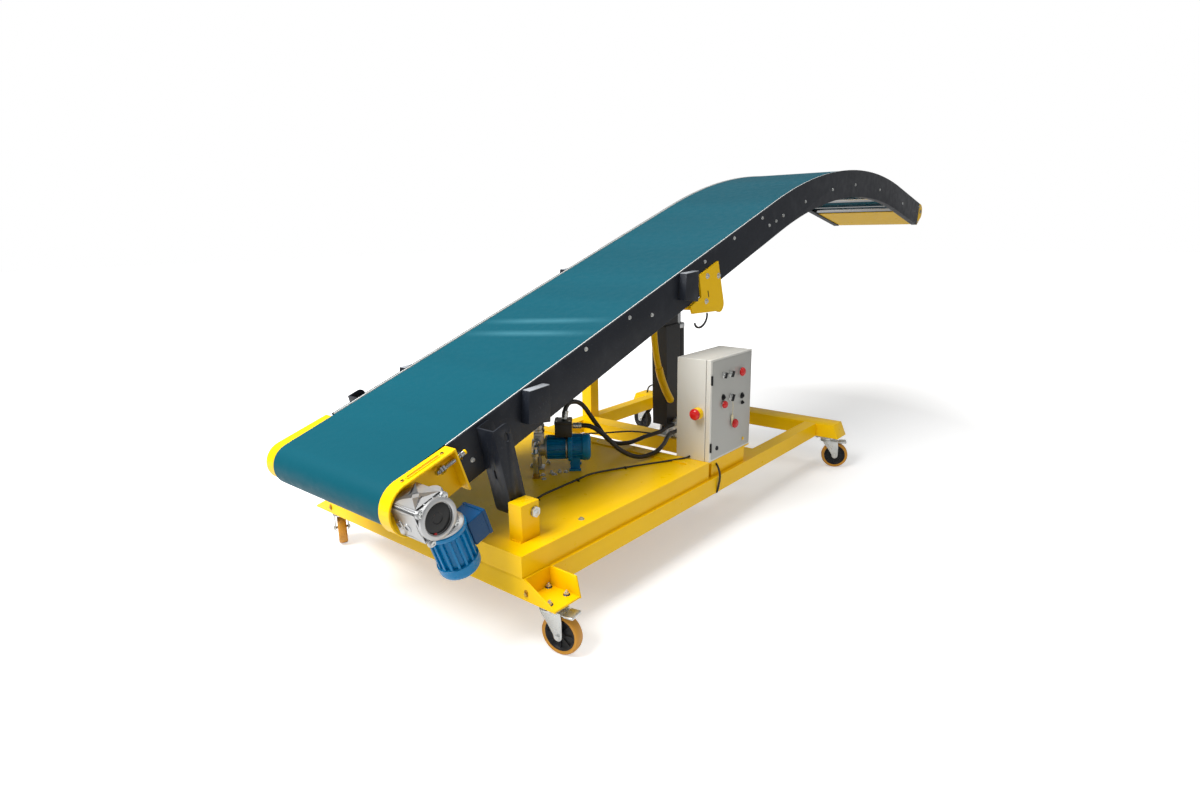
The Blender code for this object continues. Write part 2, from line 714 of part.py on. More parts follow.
def build_castors():
    """Build the four braked swivel castors."""
    plate_top = BEAM_BOTTOM - GAP
    race_top = plate_top - CASTOR_PLATE_THICKNESS
    race_bottom = race_top - RACE_HEIGHT
    crown_top = race_bottom - BEARING_GAP
    crown_bottom = crown_top - CROWN_THICKNESS
    inner = WHEEL_WIDTH / 2 + FORK_CLEARANCE
    outer = inner + FORK_THICKNESS
    for name, (swivel_x, swivel_y, heading) in SWIVELS.items():
        half = CASTOR_PLATE / 2
        plate = box((swivel_x - half, swivel_y - half, race_top), (swivel_x + half, swivel_y + half, plate_top))
        race = cylinder((swivel_x, swivel_y, (race_top + 0.001 + race_bottom) / 2), RACE_RADIUS,
                        RACE_HEIGHT + 0.001, axis="Z")
        finished(join(plate, race), "castor_plate_" + name, "zinc")
        swivel = joint_frame("swivel_" + name, (swivel_x, swivel_y, 0.0), (0.0, 0.0, math.radians(heading)))
        crown = cylinder((0.0, 0.0, (crown_top + crown_bottom) / 2), RACE_RADIUS, CROWN_THICKNESS,
                         axis="Z", frame=swivel)
        bridge = box((0.0, -outer, crown_bottom), (CASTOR_TRAIL + 0.012, outer, crown_top - 0.0005), swivel)
        join(crown, bridge)
        leg = [(-0.020, crown_top - 0.001), (CASTOR_TRAIL + 0.012, crown_top - 0.001)]
        leg += arc(CASTOR_TRAIL, WHEEL_RADIUS, 0.014, 0.0, -180.0, 8)
        for low, high in ((-outer, -inner), (inner, outer)):
            join(crown, prism([leg], low, high, "XZ", swivel))
        axle = cylinder((CASTOR_TRAIL, 0.0, WHEEL_RADIUS), AXLE_RADIUS, 2 * outer + 0.010,
                        frame=swivel, sides=16)
        pedal = box((CASTOR_TRAIL + 0.008, -outer + 0.001, crown_bottom - 0.004),
                    (CASTOR_TRAIL + 0.052, outer - 0.001, crown_bottom + 0.004), swivel)
        join(crown, axle, pedal)
        finished(crown, "castor_fork_" + name, "zinc")
        axle_frame = joint_frame("axle_" + name, (CASTOR_TRAIL, 0.0, WHEEL_RADIUS), parent=swivel)
        rim = WHEEL_RADIUS - TREAD_DEPTH
        half_width = WHEEL_WIDTH / 2
        hub = [(0.016, half_width), (0.018, half_width * 0.6), (rim - 0.008, half_width * 0.45),
               (rim - GAP, half_width * 0.8), (rim - GAP, -half_width * 0.8),
               (rim - 0.008, -half_width * 0.45), (0.018, -half_width * 0.6), (0.016, -half_width),
               (HUB_BORE, -half_width), (HUB_BORE, half_width)]
        core = turned(hub, (0.0, 0.0, 0.0), frame=axle_frame)
        finished(core, "castor_core_" + name, "black_paint", 40)
        tread = [(rim, half_width * 0.85), (WHEEL_RADIUS - 0.004, half_width),
                 (WHEEL_RADIUS, half_width * 0.55), (WHEEL_RADIUS, -half_width * 0.55),
                 (WHEEL_RADIUS - 0.004, -half_width), (rim, -half_width * 0.85)]
        tyre = turned(tread, (0.0, 0.0, 0.0), frame=axle_frame)
        finished(tyre, "castor_tyre_" + name, "amber_tread", 40)


def build_side_frames(boom):
    """Build the two arched side frames with their lips and clamp ears."""
    for name, side in SIDES.items():
        low, high = mirrored_span(side, FRAME_INNER_Y, FRAME_OUTER_Y)
        end = HEAD_AT - GUARD_LENGTH
        web = prism([strip(FRAME_TAIL, end, 0.0, FRAME_DEPTH)], low, high, "XZ", boom)
        lip_low, lip_high = mirrored_span(side, FRAME_INNER_Y - FRAME_LIP, FRAME_INNER_Y + 0.001)
        lip = prism([strip(FRAME_TAIL, end, FRAME_DEPTH - FRAME_SHEET, FRAME_DEPTH)],
                    lip_low, lip_high, "XZ", boom)
        join(web, lip)
        for place in CLAMP_PLACES:
            ear_low, ear_high = mirrored_span(side, FRAME_OUTER_Y - 0.001, FRAME_OUTER_Y + CLAMP_REACH)
            top = BELT_LINE - 0.004
            root, tip = (ear_low, ear_high) if side > 0 else (ear_high, ear_low)
            outline = [(root, top), (root, top - CLAMP_DEPTH), (tip, top - CLAMP_DEPTH),
                       (tip, top - CLAMP_SLANT)]
            join(web, prism([outline], place - CLAMP_WIDTH / 2, place + CLAMP_WIDTH / 2, "YZ", boom))
        finished(web, "side_frame_" + name, "anthracite")


def build_bed(boom):
    """Build the slider bed under the belt with the ties between the side frames."""
    reach = FRAME_INNER_Y - GAP
    bed = prism([strip(BED_TAIL, HEAD_AT - BED_HEAD_GAP, BED_DEPTH, BED_DEPTH + BED_SHEET)],
                -BELT_HALF_WIDTH, BELT_HALF_WIDTH, "XZ", boom)
    for place in TIE_PLACES:
        tie = [boom_point(place - TIE_WIDTH / 2, BED_DEPTH + BED_SHEET - 0.001),
               boom_point(place + TIE_WIDTH / 2, BED_DEPTH + BED_SHEET - 0.001),
               boom_point(place + TIE_WIDTH / 2, BED_DEPTH + BED_SHEET + TIE_DEPTH),
               boom_point(place - TIE_WIDTH / 2, BED_DEPTH + BED_SHEET + TIE_DEPTH)]
        join(bed, prism([tie], -reach, reach, "XZ", boom))
    finished(bed, "slider_bed", "anthracite")


def build_return_rollers(boom):
    """Build the rollers under the returning belt, carried by a rail on each side."""
    depth = RETURN_DEPTH + BELT_THICKNESS + RETURN_ROLLER_GAP + RETURN_ROLLER_RADIUS
    start = RETURN_ROLLER_PLACES[0] - 0.03
    end = RETURN_ROLLER_PLACES[-1] + 0.03
    rail_outer = FRAME_INNER_Y - GAP
    rail_inner = rail_outer - ROLLER_RAIL_WIDTH
    outline = strip(start, end, depth - ROLLER_RAIL_DEPTH / 2, depth + ROLLER_RAIL_DEPTH / 2)
    near = prism([outline], -rail_outer, -rail_inner, "XZ", boom)
    far = prism([outline], rail_inner, rail_outer, "XZ", boom)
    join(near, far)
    for place in RETURN_ROLLER_PLACES:
        x, z = boom_point(place, depth)
        roller = cylinder((x, 0.0, z), RETURN_ROLLER_RADIUS, 2 * (rail_inner - 0.008), frame=boom, sides=18)
        pin = cylinder((x, 0.0, z), ROLLER_PIN_RADIUS, 2 * (rail_inner + 0.003), frame=boom, sides=10)
        join(near, roller, pin)
    bar = strip(HEAD_BAR_PLACE, HEAD_BAR_PLACE + HEAD_BAR_WIDTH, depth, depth + HEAD_BAR_DEPTH)
    join(near, prism([bar], -rail_outer + 0.001, rail_outer - 0.001, "XZ", boom))
    finished(near, "return_rollers", "roller_steel")


def belt_loop(extra):
    """Outline the belt's path, moved outwards by an extra distance."""
    drum_x, drum_z = DRUM_CENTRE
    head_x, head_z = HEAD_CENTRE
    lean = math.degrees(ARC_ANGLE)
    inner = BELT_TOP_DEPTH + BELT_THICKNESS
    points = [boom_point(place, inner - extra) for place in stations(DRUM_X, HEAD_AT)]
    points = points[:-1]
    points += arc(head_x, head_z, HEAD_ROLLER_RADIUS + GAP + extra, 90.0 - lean, -90.0 - lean, 14)
    back = [boom_point(place, RETURN_DEPTH + extra) for place in stations(RETURN_SETTLE, HEAD_AT - 0.15)]
    points += back[::-1]
    points += arc(drum_x, drum_z, DRUM_RADIUS + GAP + extra, 276.0, 92.0, 18)
    return points


def build_belt(boom):
    """Build the belt as one closed loop."""
    finished(prism([belt_loop(BELT_THICKNESS), belt_loop(0.0)], -BELT_HALF_WIDTH, BELT_HALF_WIDTH, "XZ", boom),
             "conveyor_belt", "teal_belt", 30)


def build_end_rollers(boom):
    """Build the driven tail drum and the head roller with their shafts."""
    drum_x, drum_z = DRUM_CENTRE
    drum = cylinder((drum_x, 0.0, drum_z), DRUM_RADIUS, 2 * DRUM_HALF_WIDTH, frame=boom, sides=40)
    near_end = GEARBOX_NEAR_Y + GEARBOX_RECESS_DEPTH
    far_end = FRAME_OUTER_Y + BRACKET_WEB + 0.020
    shaft = cylinder((drum_x, (near_end + far_end) / 2, drum_z), SHAFT_RADIUS, far_end - near_end,
                     frame=boom, sides=24)
    finished(join(drum, shaft), "tail_drum", "roller_steel", 40)
    head_x, head_z = HEAD_CENTRE
    roller = cylinder((head_x, 0.0, head_z), HEAD_ROLLER_RADIUS, 2 * DRUM_HALF_WIDTH, frame=boom, sides=32)
    stub = cylinder((head_x, 0.0, head_z), HEAD_STUB_RADIUS, 2 * (FRAME_OUTER_Y + HEAD_STUB_REACH), frame=boom,
                    sides=20)
    finished(join(roller, stub), "head_roller", "roller_steel", 40)


def build_tail_brackets(boom):
    """Build the bearing brackets at the tail with their take-up rods."""
    drum_x, drum_z = DRUM_CENTRE
    front = FRAME_TAIL - GAP
    bottom = drum_z - BRACKET_NOSE * 0.86
    for name, side in SIDES.items():
        nose, drop = BRACKETS[name]
        top = BELT_LINE - drop
        outline = [(front, bottom), (front, top)]
        outline += [(drum_x, drum_z + nose)] + arc(drum_x, drum_z, nose, 100.0, 240.0, 14)
        inner_nose = nose - BRACKET_RIM
        inner = [(front - BRACKET_RIM, bottom - 0.05), (front - BRACKET_RIM, top - BRACKET_RIM)]
        inner += [(drum_x, drum_z + inner_nose)] + arc(drum_x, drum_z, inner_nose, 100.0, 175.0, 8)
        inner += [(drum_x - inner_nose, bottom - 0.05)]
        web_y = FRAME_OUTER_Y - BRACKET_WEB / 2
        low, high = mirrored_span(side, web_y, web_y + BRACKET_REACH)
        tray = prism([outline], low, high, "XZ", boom)
        low, high = mirrored_span(side, web_y + BRACKET_WEB, web_y + BRACKET_REACH + 0.01)
        cut(tray, prism([inner], low, high, "XZ", boom))
        bore = (drum_x, side * FRAME_OUTER_Y, drum_z)
        cut(tray, cylinder(bore, SHAFT_RADIUS + GAP, 2 * BRACKET_REACH, frame=boom, sides=24))
        rod_y = side * (web_y + BRACKET_REACH * 0.62)
        rod_z = BELT_LINE - TAKE_UP_DEPTH
        rod = cylinder((front - BRACKET_RIM, rod_y, rod_z), TAKE_UP_RADIUS, TAKE_UP_LENGTH, axis="X",
                       frame=boom, sides=12)
        join(tray, rod)
        finished(tray, "tail_bracket_" + name, "yellow")


def build_head_guard(boom):
    """Build the head's bearing plates and the panel between them."""
    head_x, head_z = HEAD_CENTRE
    start = HEAD_AT - GUARD_LENGTH + GAP
    lean = math.degrees(ARC_ANGLE)
    outline = [boom_point(start, 0.0), boom_point(HEAD_AT, 0.0)]
    outline += arc(head_x, head_z, HEAD_DEPTH, 90.0 - lean, -60.0 - lean, 10)[1:]
    outline += [boom_point(start, FRAME_DEPTH)]
    hole = cylinder((head_x, 0.0, head_z), HEAD_STUB_RADIUS + GAP, 3 * FRAME_OUTER_Y, frame=boom, sides=20)
    plates = []
    for side in SIDES.values():
        low, high = mirrored_span(side, FRAME_INNER_Y - 0.004, FRAME_OUTER_Y)
        plates.append(cut(prism([outline], low, high, "XZ", boom), hole))
    panel_top = FRAME_DEPTH - FRAME_SHEET - GAP - HEAD_PANEL_SHEET
    inside = FRAME_INNER_Y - FRAME_LIP - 0.001
    panel_end = HEAD_AT - HEAD_PANEL_GAP
    panel = prism([strip(HEAD_AT - HEAD_PANEL_LENGTH, panel_end, panel_top, panel_top + HEAD_PANEL_SHEET)],
                  -inside, inside, "XZ", boom)
    edge = prism([strip(start + 0.003, HEAD_AT - 0.022, panel_top - 0.012, panel_top + 0.002)],
                 -FRAME_INNER_Y - 0.001, FRAME_INNER_Y + 0.001, "XZ", boom)
    join(panel, edge, *plates)
    finished(panel, "head_guard", "yellow")


def build_pivot_legs(boom):
    """Build the folded legs that hang the boom on its tilt axis."""
    for name, side in SIDES.items():
        half = LEG_WIDTH / 2
        top = BELT_LINE - LEG_TOP_DEPTH
        outline = arc(0.0, 0.0, half, 180.0, 360.0, 12)
        outline += [(LEG_LEAN + half, top - 0.012), (LEG_LEAN + half - 0.012, top), (LEG_LEAN - half, top)]
        low, high = mirrored_span(side, LEG_INNER_Y, LEG_OUTER_Y)
        leg = prism([outline], low, high, "XZ", boom)
        rise = 0.045
        lean = LEG_LEAN / top
        inner = [(lean * rise - half + LEG_SHEET, rise), (half + 0.03, rise),
                 (LEG_LEAN + half + 0.03, top + 0.01), (LEG_LEAN - half + LEG_SHEET, top + 0.01)]
        low, high = mirrored_span(side, LEG_INNER_Y + LEG_SHEET, LEG_OUTER_Y - LEG_SHEET)
        cut(leg, prism([inner], low, high, "XZ", boom))
        centre_y = side * (LEG_INNER_Y + LEG_OUTER_Y) / 2
        cut(leg, cylinder((0.0, centre_y, 0.0), PIN_RADIUS + PIN_PLAY, 0.2, frame=boom, sides=24))
        finished(leg, "pivot_leg_" + name, "anthracite")


def build_drive(boom):
    """Build the gearbox on the drum's shaft and the motor under it."""
    x, z = DRUM_CENTRE
    middle = (GEARBOX_NEAR_Y + GEARBOX_FAR_Y) / 2
    cover = GEARBOX_COVER_DEPTH
    housing = box((x - GEARBOX_HALF_X, GEARBOX_NEAR_Y + cover, z - GEARBOX_BELOW),
                  (x + GEARBOX_HALF_X, GEARBOX_FAR_Y - 0.006, z + GEARBOX_ABOVE), boom)
    ring = cylinder((x, middle, z), GEARBOX_COVER_RADIUS, GEARBOX_FAR_Y - GEARBOX_NEAR_Y, frame=boom)
    flange = cylinder((x, middle, z - GEARBOX_BELOW - MOTOR_FLANGE / 2 + 0.001), MOTOR_FLANGE_RADIUS - 0.006,
                      MOTOR_FLANGE, axis="Z", frame=boom, top_radius=MOTOR_FLANGE_RADIUS - 0.016)
    join(housing, ring, flange)
    recess_y = GEARBOX_NEAR_Y + GEARBOX_RECESS_DEPTH / 2 - 0.001
    cut(housing, cylinder((x, recess_y, z), GEARBOX_RECESS_RADIUS, GEARBOX_RECESS_DEPTH + 0.002, frame=boom))
    cut(housing, cylinder((x, middle, z), GEARBOX_BORE, 0.3, frame=boom, sides=24))
    finished(housing, "gearbox", "cast_aluminium")
    top = z - GEARBOX_BELOW - MOTOR_FLANGE + 0.001 - GAP
    body = cylinder((x, middle, top - MOTOR_LENGTH / 2), MOTOR_RADIUS - MOTOR_RIB_HEIGHT, MOTOR_LENGTH,
                    axis="Z", frame=boom)
    shield = cylinder((x, middle, top - 0.008), MOTOR_FLANGE_RADIUS, 0.016, axis="Z", frame=boom)
    join(body, shield)
    for index in range(MOTOR_RIBS):
        angle = 2 * math.pi * (index + 0.5) / MOTOR_RIBS
        rib = box((MOTOR_RADIUS - MOTOR_RIB_HEIGHT - 0.004, -MOTOR_RIB_WIDTH / 2, -MOTOR_LENGTH + 0.010),
                  (MOTOR_RADIUS, MOTOR_RIB_WIDTH / 2, -0.010), boom)
        rib.data.transform(Matrix.Translation((x, middle, top)) @ Matrix.Rotation(angle, 4, "Z"))
        join(body, rib)
    cowl_top = top - MOTOR_LENGTH + 0.004
    cowl = cylinder((x, middle, cowl_top - COWL_LENGTH / 2), COWL_RADIUS - 0.010, COWL_LENGTH,
                    axis="Z", frame=boom, top_radius=COWL_RADIUS)
    join(body, cowl)
    size_x, size_y, size_z = TERMINAL_BOX
    box_z = top - MOTOR_LENGTH * 0.45
    terminal = box((x + MOTOR_RADIUS - 0.010, middle - size_y / 2, box_z - size_z / 2),
                   (x + MOTOR_RADIUS + size_x, middle + size_y / 2, box_z + size_z / 2), boom)
    join(body, terminal)
    finished(body, "drive_motor", "motor_blue")


def build_crosshead(boom):
    """Build the brackets under the side frames and the cross pin that the lift pushes."""
    bottom = BELT_LINE - FRAME_DEPTH
    eye_x, eye_z = LIFT_EYE_ALONG, LIFT_EYE_HEIGHT
    outline = [(CROSSHEAD_TOP_FRONT, bottom + CROSSHEAD_OVER_EDGE), (CROSSHEAD_STEP, bottom - GAP),
               (CROSSHEAD_FRONT, bottom - 0.004), (CROSSHEAD_FRONT, bottom - CROSSHEAD_BELOW_EDGE)]
    outline += arc(eye_x, eye_z, CROSSHEAD_LOBE, 215.0, 360.0, 8)
    outline += [(CROSSHEAD_TOP_BACK, bottom + CROSSHEAD_OVER_EDGE)]
    plates = []
    for side in SIDES.values():
        low, high = mirrored_span(side, FRAME_OUTER_Y + GAP, FRAME_OUTER_Y + GAP + CROSSHEAD_PLATE)
        plates.append(prism([outline], low, high, "XZ", boom))
    pin = cylinder((eye_x, 0.0, eye_z), LIFT_PIN_RADIUS, 2 * (FRAME_OUTER_Y + 0.006), frame=boom, sides=24)
    tie = cylinder((CROSSHEAD_TIE_ALONG, 0.0, bottom - CROSSHEAD_TIE_DROP), CROSSHEAD_TIE_RADIUS,
                   2 * (FRAME_OUTER_Y + 0.006), frame=boom, sides=18)
    finished(join(pin, tie, *plates), "lift_crosshead", "yellow")


def build_lift():
    """Build the lift: its foot, outer tube and cylinder, inner tube, rod and head."""
    half_lug = LIFT_LUG_THICKNESS / 2
    cheek_inner = half_lug + LIFT_CHEEK_GAP
    base = box((LIFT_FOOT_X - LIFT_FOOT_HALF_LENGTH, LIFT_Y - LIFT_FOOT_HALF_WIDTH, BEAM_TOP + GAP),
               (LIFT_FOOT_X + LIFT_FOOT_HALF_LENGTH, LIFT_Y + LIFT_FOOT_HALF_WIDTH, BEAM_TOP + LIFT_FOOT_PLATE))
    cheek = [(LIFT_FOOT_X - 0.030, BEAM_TOP + 0.004), (LIFT_FOOT_X + 0.030, BEAM_TOP + 0.004)]
    cheek += arc(LIFT_FOOT_X, LIFT_FOOT_Z, LIFT_FOOT_EYE_RADIUS, 20.0, 160.0, 8)
    for low, high in ((-cheek_inner - LIFT_CHEEK, -cheek_inner), (cheek_inner, cheek_inner + LIFT_CHEEK)):
        join(base, prism([cheek], LIFT_Y + low, LIFT_Y + high, "XZ"))
    pin_length = 2 * (cheek_inner + LIFT_CHEEK) - 0.002
    foot_pin = cylinder((LIFT_FOOT_X, LIFT_Y, LIFT_FOOT_Z), LIFT_FOOT_PIN_RADIUS, pin_length, sides=24)
    ports = box((PORT_BLOCK_X, LIFT_Y - 0.112, BEAM_TOP + GAP),
                (PORT_BLOCK_X + PORT_BLOCK_LENGTH, LIFT_Y - 0.049, BEAM_TOP + PORT_BLOCK_HEIGHT))
    finished(join(base, foot_pin, ports), "lift_foot", "zinc")

    foot = joint_frame("lift_foot_axis", (LIFT_FOOT_X, LIFT_Y, LIFT_FOOT_Z), (0.0, LIFT_LEAN, 0.0))
    half_x = LIFT_TUBE_X / 2
    half_y = LIFT_TUBE_Y / 2
    wall = LIFT_TUBE_WALL
    tube = box((-half_x, -half_y, LIFT_TUBE_START), (half_x, half_y, LIFT_TUBE_END), foot)
    bore_start = LIFT_TUBE_START + 0.010
    cut(tube, box((-half_x + wall, -half_y + wall, bore_start),
                  (half_x - wall, half_y - wall, LIFT_TUBE_END + 0.01), foot))
    lug = prism([[(0.020, LIFT_TUBE_START + 0.002), (-0.020, LIFT_TUBE_START + 0.002)]
                 + arc(0.0, 0.0, LIFT_FOOT_EYE_RADIUS, 180.0, 360.0, 10)], -half_lug, half_lug, "XZ", foot)
    join(tube, lug)
    cut(tube, cylinder((0.0, 0.0, 0.0), LIFT_FOOT_PIN_RADIUS + PIN_PLAY, 0.1, frame=foot, sides=24))
    finished(tube, "lift_outer_tube", "black_paint")
    offset = LIFT_CYLINDER_OFFSET
    barrel = cylinder((offset, 0.0, (LIFT_CYLINDER_START + LIFT_CYLINDER_END) / 2), LIFT_CYLINDER_RADIUS,
                      LIFT_CYLINDER_END - LIFT_CYLINDER_START, axis="Z", frame=foot)
    cut(barrel, cylinder((offset, 0.0, LIFT_CYLINDER_END), LIFT_CYLINDER_BORE,
                         2 * (LIFT_CYLINDER_END - LIFT_CYLINDER_START - 0.020), axis="Z", frame=foot, sides=24))
    strap_low = half_x + GAP
    for height in LIFT_STRAP_HEIGHTS:
        half = LIFT_STRAP_WIDTH / 2
        join(barrel, box((strap_low, -2 * half, height - half),
                         (offset - 0.025, 2 * half, height + half), foot))
    finished(barrel, "lift_cylinder", "black_paint", 40)

    head_top = LIFT_LENGTH - LIFT_HEAD_BELOW_EYE
    head_bottom = head_top - LIFT_HEAD_THICKNESS
    inner_x = half_x - wall - LIFT_SLIDE_PLAY
    inner_y = half_y - wall - LIFT_SLIDE_PLAY
    outer_outline = rectangle(-inner_x, -inner_y, inner_x, inner_y)
    hollow = rectangle(-inner_x + LIFT_INNER_WALL, -inner_y + LIFT_INNER_WALL,
                       inner_x - LIFT_INNER_WALL, inner_y - LIFT_INNER_WALL)
    slide = prism([outer_outline, hollow], LIFT_INNER_START, head_bottom - GAP, "XY", foot)
    finished(slide, "lift_inner_tube", "zinc")
    rod = cylinder((offset, 0.0, (LIFT_ROD_START + head_bottom - GAP) / 2), LIFT_ROD_RADIUS,
                   head_bottom - GAP - LIFT_ROD_START, axis="Z", frame=foot, sides=24)
    finished(rod, "lift_rod", "roller_steel", 40)
    head = box((-half_x, -half_y, head_bottom), (offset + 0.030, half_y, head_top), foot)
    eye = [(-0.030, head_top - 0.002), (0.030, head_top - 0.002)]
    eye += arc(0.0, LIFT_LENGTH, LIFT_EYE_RADIUS, 10.0, 170.0, 10)
    join(head, prism([eye], -half_lug, half_lug, "XZ", foot))
    cut(head, cylinder((0.0, 0.0, LIFT_LENGTH), LIFT_PIN_RADIUS + 0.002, 0.1, frame=foot, sides=24))
    finished(head, "lift_head", "black_paint")


def build_hydraulic_unit():
    """Build the small hydraulic unit that stands turned on the deck."""
    unit = joint_frame("hydraulic_unit_axis", (UNIT_X, UNIT_Y, UNIT_Z), (0.0, 0.0, UNIT_TURN))
    floor = DECK_FLOOR + GAP - UNIT_Z
    shield_end = UNIT_SHIELD_LENGTH / 2
    motor_end = shield_end + UNIT_MOTOR_LENGTH
    shield = cylinder((0.0, 0.0, 0.0), UNIT_SHIELD_RADIUS, UNIT_SHIELD_LENGTH, axis="X", frame=unit)
    motor = cylinder((motor_end / 2, 0.0, 0.0), UNIT_MOTOR_RADIUS, motor_end, axis="X", frame=unit)
    cowl = cylinder((motor_end - 0.001 + UNIT_COWL_LENGTH / 2, 0.0, 0.0), UNIT_MOTOR_RADIUS + 0.002,
                    UNIT_COWL_LENGTH, axis="X", frame=unit, top_radius=UNIT_MOTOR_RADIUS - UNIT_COWL_TAPER)
    feet = box((-shield_end + 0.001, -UNIT_FOOT_HALF_WIDTH, floor),
               (motor_end - 0.006, UNIT_FOOT_HALF_WIDTH, -0.6 * UNIT_MOTOR_RADIUS), unit)
    length, width, height = UNIT_BOX
    box_bottom = FINNED_RADIUS + FIN_HEIGHT + GAP
    terminal = box((shield_end - length, -width / 2, box_bottom),
                   (shield_end, width / 2, box_bottom + height), unit)
    join(motor, cowl, shield, feet, terminal)
    finished(motor, "hydraulic_motor", "motor_blue")
    front = -shield_end - GAP
    finned = cylinder((front - FINNED_LENGTH / 2, 0.0, 0.0), FINNED_RADIUS, FINNED_LENGTH, axis="X", frame=unit)
    for index in range(FIN_COUNT):
        fin = box((front - FINNED_LENGTH + 0.006, -FIN_WIDTH / 2, FINNED_RADIUS - 0.004),
                  (front - 0.006, FIN_WIDTH / 2, FINNED_RADIUS + FIN_HEIGHT), unit)
        fin.data.transform(Matrix.Rotation(2 * math.pi * (index + 0.5) / FIN_COUNT, 4, "X"))
        join(finned, fin)
    pump_start = front - FINNED_LENGTH + 0.001
    pump = cylinder((pump_start - PUMP_LENGTH / 2, 0.0, 0.0), PUMP_RADIUS, PUMP_LENGTH, axis="X", frame=unit)
    middle = pump_start - PUMP_LENGTH / 2
    length, width, height = VALVE_BOX
    valve = box((middle - length / 2, -width / 2, 0.0), (middle + length / 2, width / 2, height), unit)
    cap = cylinder((middle, 0.0, height + CAP_HEIGHT / 2 - 0.001), CAP_RADIUS, CAP_HEIGHT, axis="Z", frame=unit,
                   sides=20)
    foot = box((middle - length / 2 + 0.002, -width / 2 + 0.002, floor),
               (middle + length / 2 - 0.002, width / 2 - 0.002, -0.001), unit)
    elbow = cylinder((middle - length / 2 + SUCTION_RADIUS + 0.002, -SUCTION_REACH / 2, SUCTION_HEIGHT),
                     SUCTION_RADIUS + 0.001, SUCTION_REACH, axis="Y", frame=unit, sides=16)
    pipe_top = SUCTION_HEIGHT + SUCTION_RADIUS + 0.006
    pipe = cylinder((middle - length / 2 + SUCTION_RADIUS + 0.002, -SUCTION_REACH, (floor + pipe_top) / 2),
                    SUCTION_RADIUS, pipe_top - floor, axis="Z", frame=unit, sides=18)
    join(finned, pump, valve, cap, foot, elbow, pipe)
    finished(finned, "hydraulic_pump", "cast_aluminium")


def smooth_route(points, spacing):
    """Read evenly spaced points from a smooth curve through a hand-chosen route."""
    route = [Vector(point) for point in points]
    ends = [route[0] * 2 - route[1]] + route + [route[-1] * 2 - route[-2]]
    dense = []
    for before, start, end, after in zip(ends, ends[1:], ends[2:], ends[3:]):
        for step in range(24):
            t = step / 24
            place = 0.5 * (2 * start + (end - before) * t
                           + (2 * before - 5 * start + 4 * end - after) * t ** 2
                           + (3 * start - before - 3 * end + after) * t ** 3)
            dense.append(place)
    dense.append(route[-1])
    spaced = [dense[0]]
    travelled = 0.0
    for first, second in zip(dense, dense[1:]):
        travelled += (second - first).length
        if travelled >= spacing:
            spaced.append(second)
            travelled = 0.0
    if (spaced[-1] - dense[-1]).length < spacing * 0.5:
        spaced.pop()
    spaced.append(dense[-1])
    return spaced


def tube_along(name, points, radius, spacing, material, frame=None):
    """Build a round tube along a smooth route."""
    curve = bpy.data.curves.new(name, "CURVE")
    curve.dimensions = "3D"
    curve.bevel_depth = radius
    curve.bevel_resolution = 2
    curve.use_fill_caps = True
    spline = curve.splines.new("POLY")
    route = smooth_route(points, spacing)
    spline.points.add(len(route) - 1)
    for point, place in zip(spline.points, route):
        point.co = (*place, 1.0)
    obj = bpy.data.objects.new(name, curve)
    obj.parent = frame or BASE
    curve.materials.append(MATERIALS[material])
    PARTS.objects.link(obj)
    return obj


HOSE_RADIUS = 0.009
CONDUIT_RADIUS = 0.014
# The hoses' own points, from the hydraulic unit over the deck to the foot of the lift
HOSE_ROUTES = {
    "lift_hose_upper": [
        (0.642, -0.085, 0.4809), (0.642, -0.085, 0.507), (0.668, -0.090, 0.541), (0.725, -0.100, 0.525),
        (0.790, -0.112, 0.440),
        (0.870, -0.122, 0.345), (0.980, -0.130, 0.312), (1.100, -0.130, 0.310), (1.220, -0.120, 0.300),
        (1.300, -0.104, 0.300), (PORT_BLOCK_X - 0.045, -0.102, 0.300),
        (PORT_BLOCK_X - 2 * GAP, -0.102, 0.300),
    ],
    "lift_hose_lower": [
        (0.6616, -0.1079, 0.456), (0.6745, -0.1233, 0.456), (0.708, -0.160, 0.450), (0.745, -0.196, 0.412),
        (0.790, -0.236, 0.350),
        (0.860, -0.268, 0.310), (0.950, -0.280, 0.305), (1.060, -0.250, 0.306), (1.180, -0.190, 0.300),
        (1.270, -0.142, 0.284), (PORT_BLOCK_X - 0.045, -0.126, 0.276),
        (PORT_BLOCK_X - 2 * GAP, -0.126, 0.276),
    ],
}
# The conduit's own points, in the boom's frame
CONDUIT_TOP = BELT_LINE - FRAME_DEPTH - CROSSHEAD_TIE_DROP - CROSSHEAD_TIE_RADIUS - 2 * GAP
CONDUIT_ROUTE = [
    (CROSSHEAD_TIE_ALONG, -0.100, CONDUIT_TOP), (CROSSHEAD_TIE_ALONG, -0.100, 0.070),
    (1.150, -0.100, 0.020), (1.132, -0.100, -0.060), (1.125, -0.100, -0.140),
    (1.128, -0.100, -0.220), (1.140, -0.100, -0.290), (1.162, -0.100, -0.360),
]


def build_lines(boom):
    """Build the two hydraulic hoses and the conduit that hangs from the boom."""
    for name, route in HOSE_ROUTES.items():
        tube_along(name, route, HOSE_RADIUS, 2.4 * HOSE_RADIUS, "black_rubber")
    tube_along("boom_conduit", CONDUIT_ROUTE, CONDUIT_RADIUS, 2.0 * CONDUIT_RADIUS, "yellow", boom)


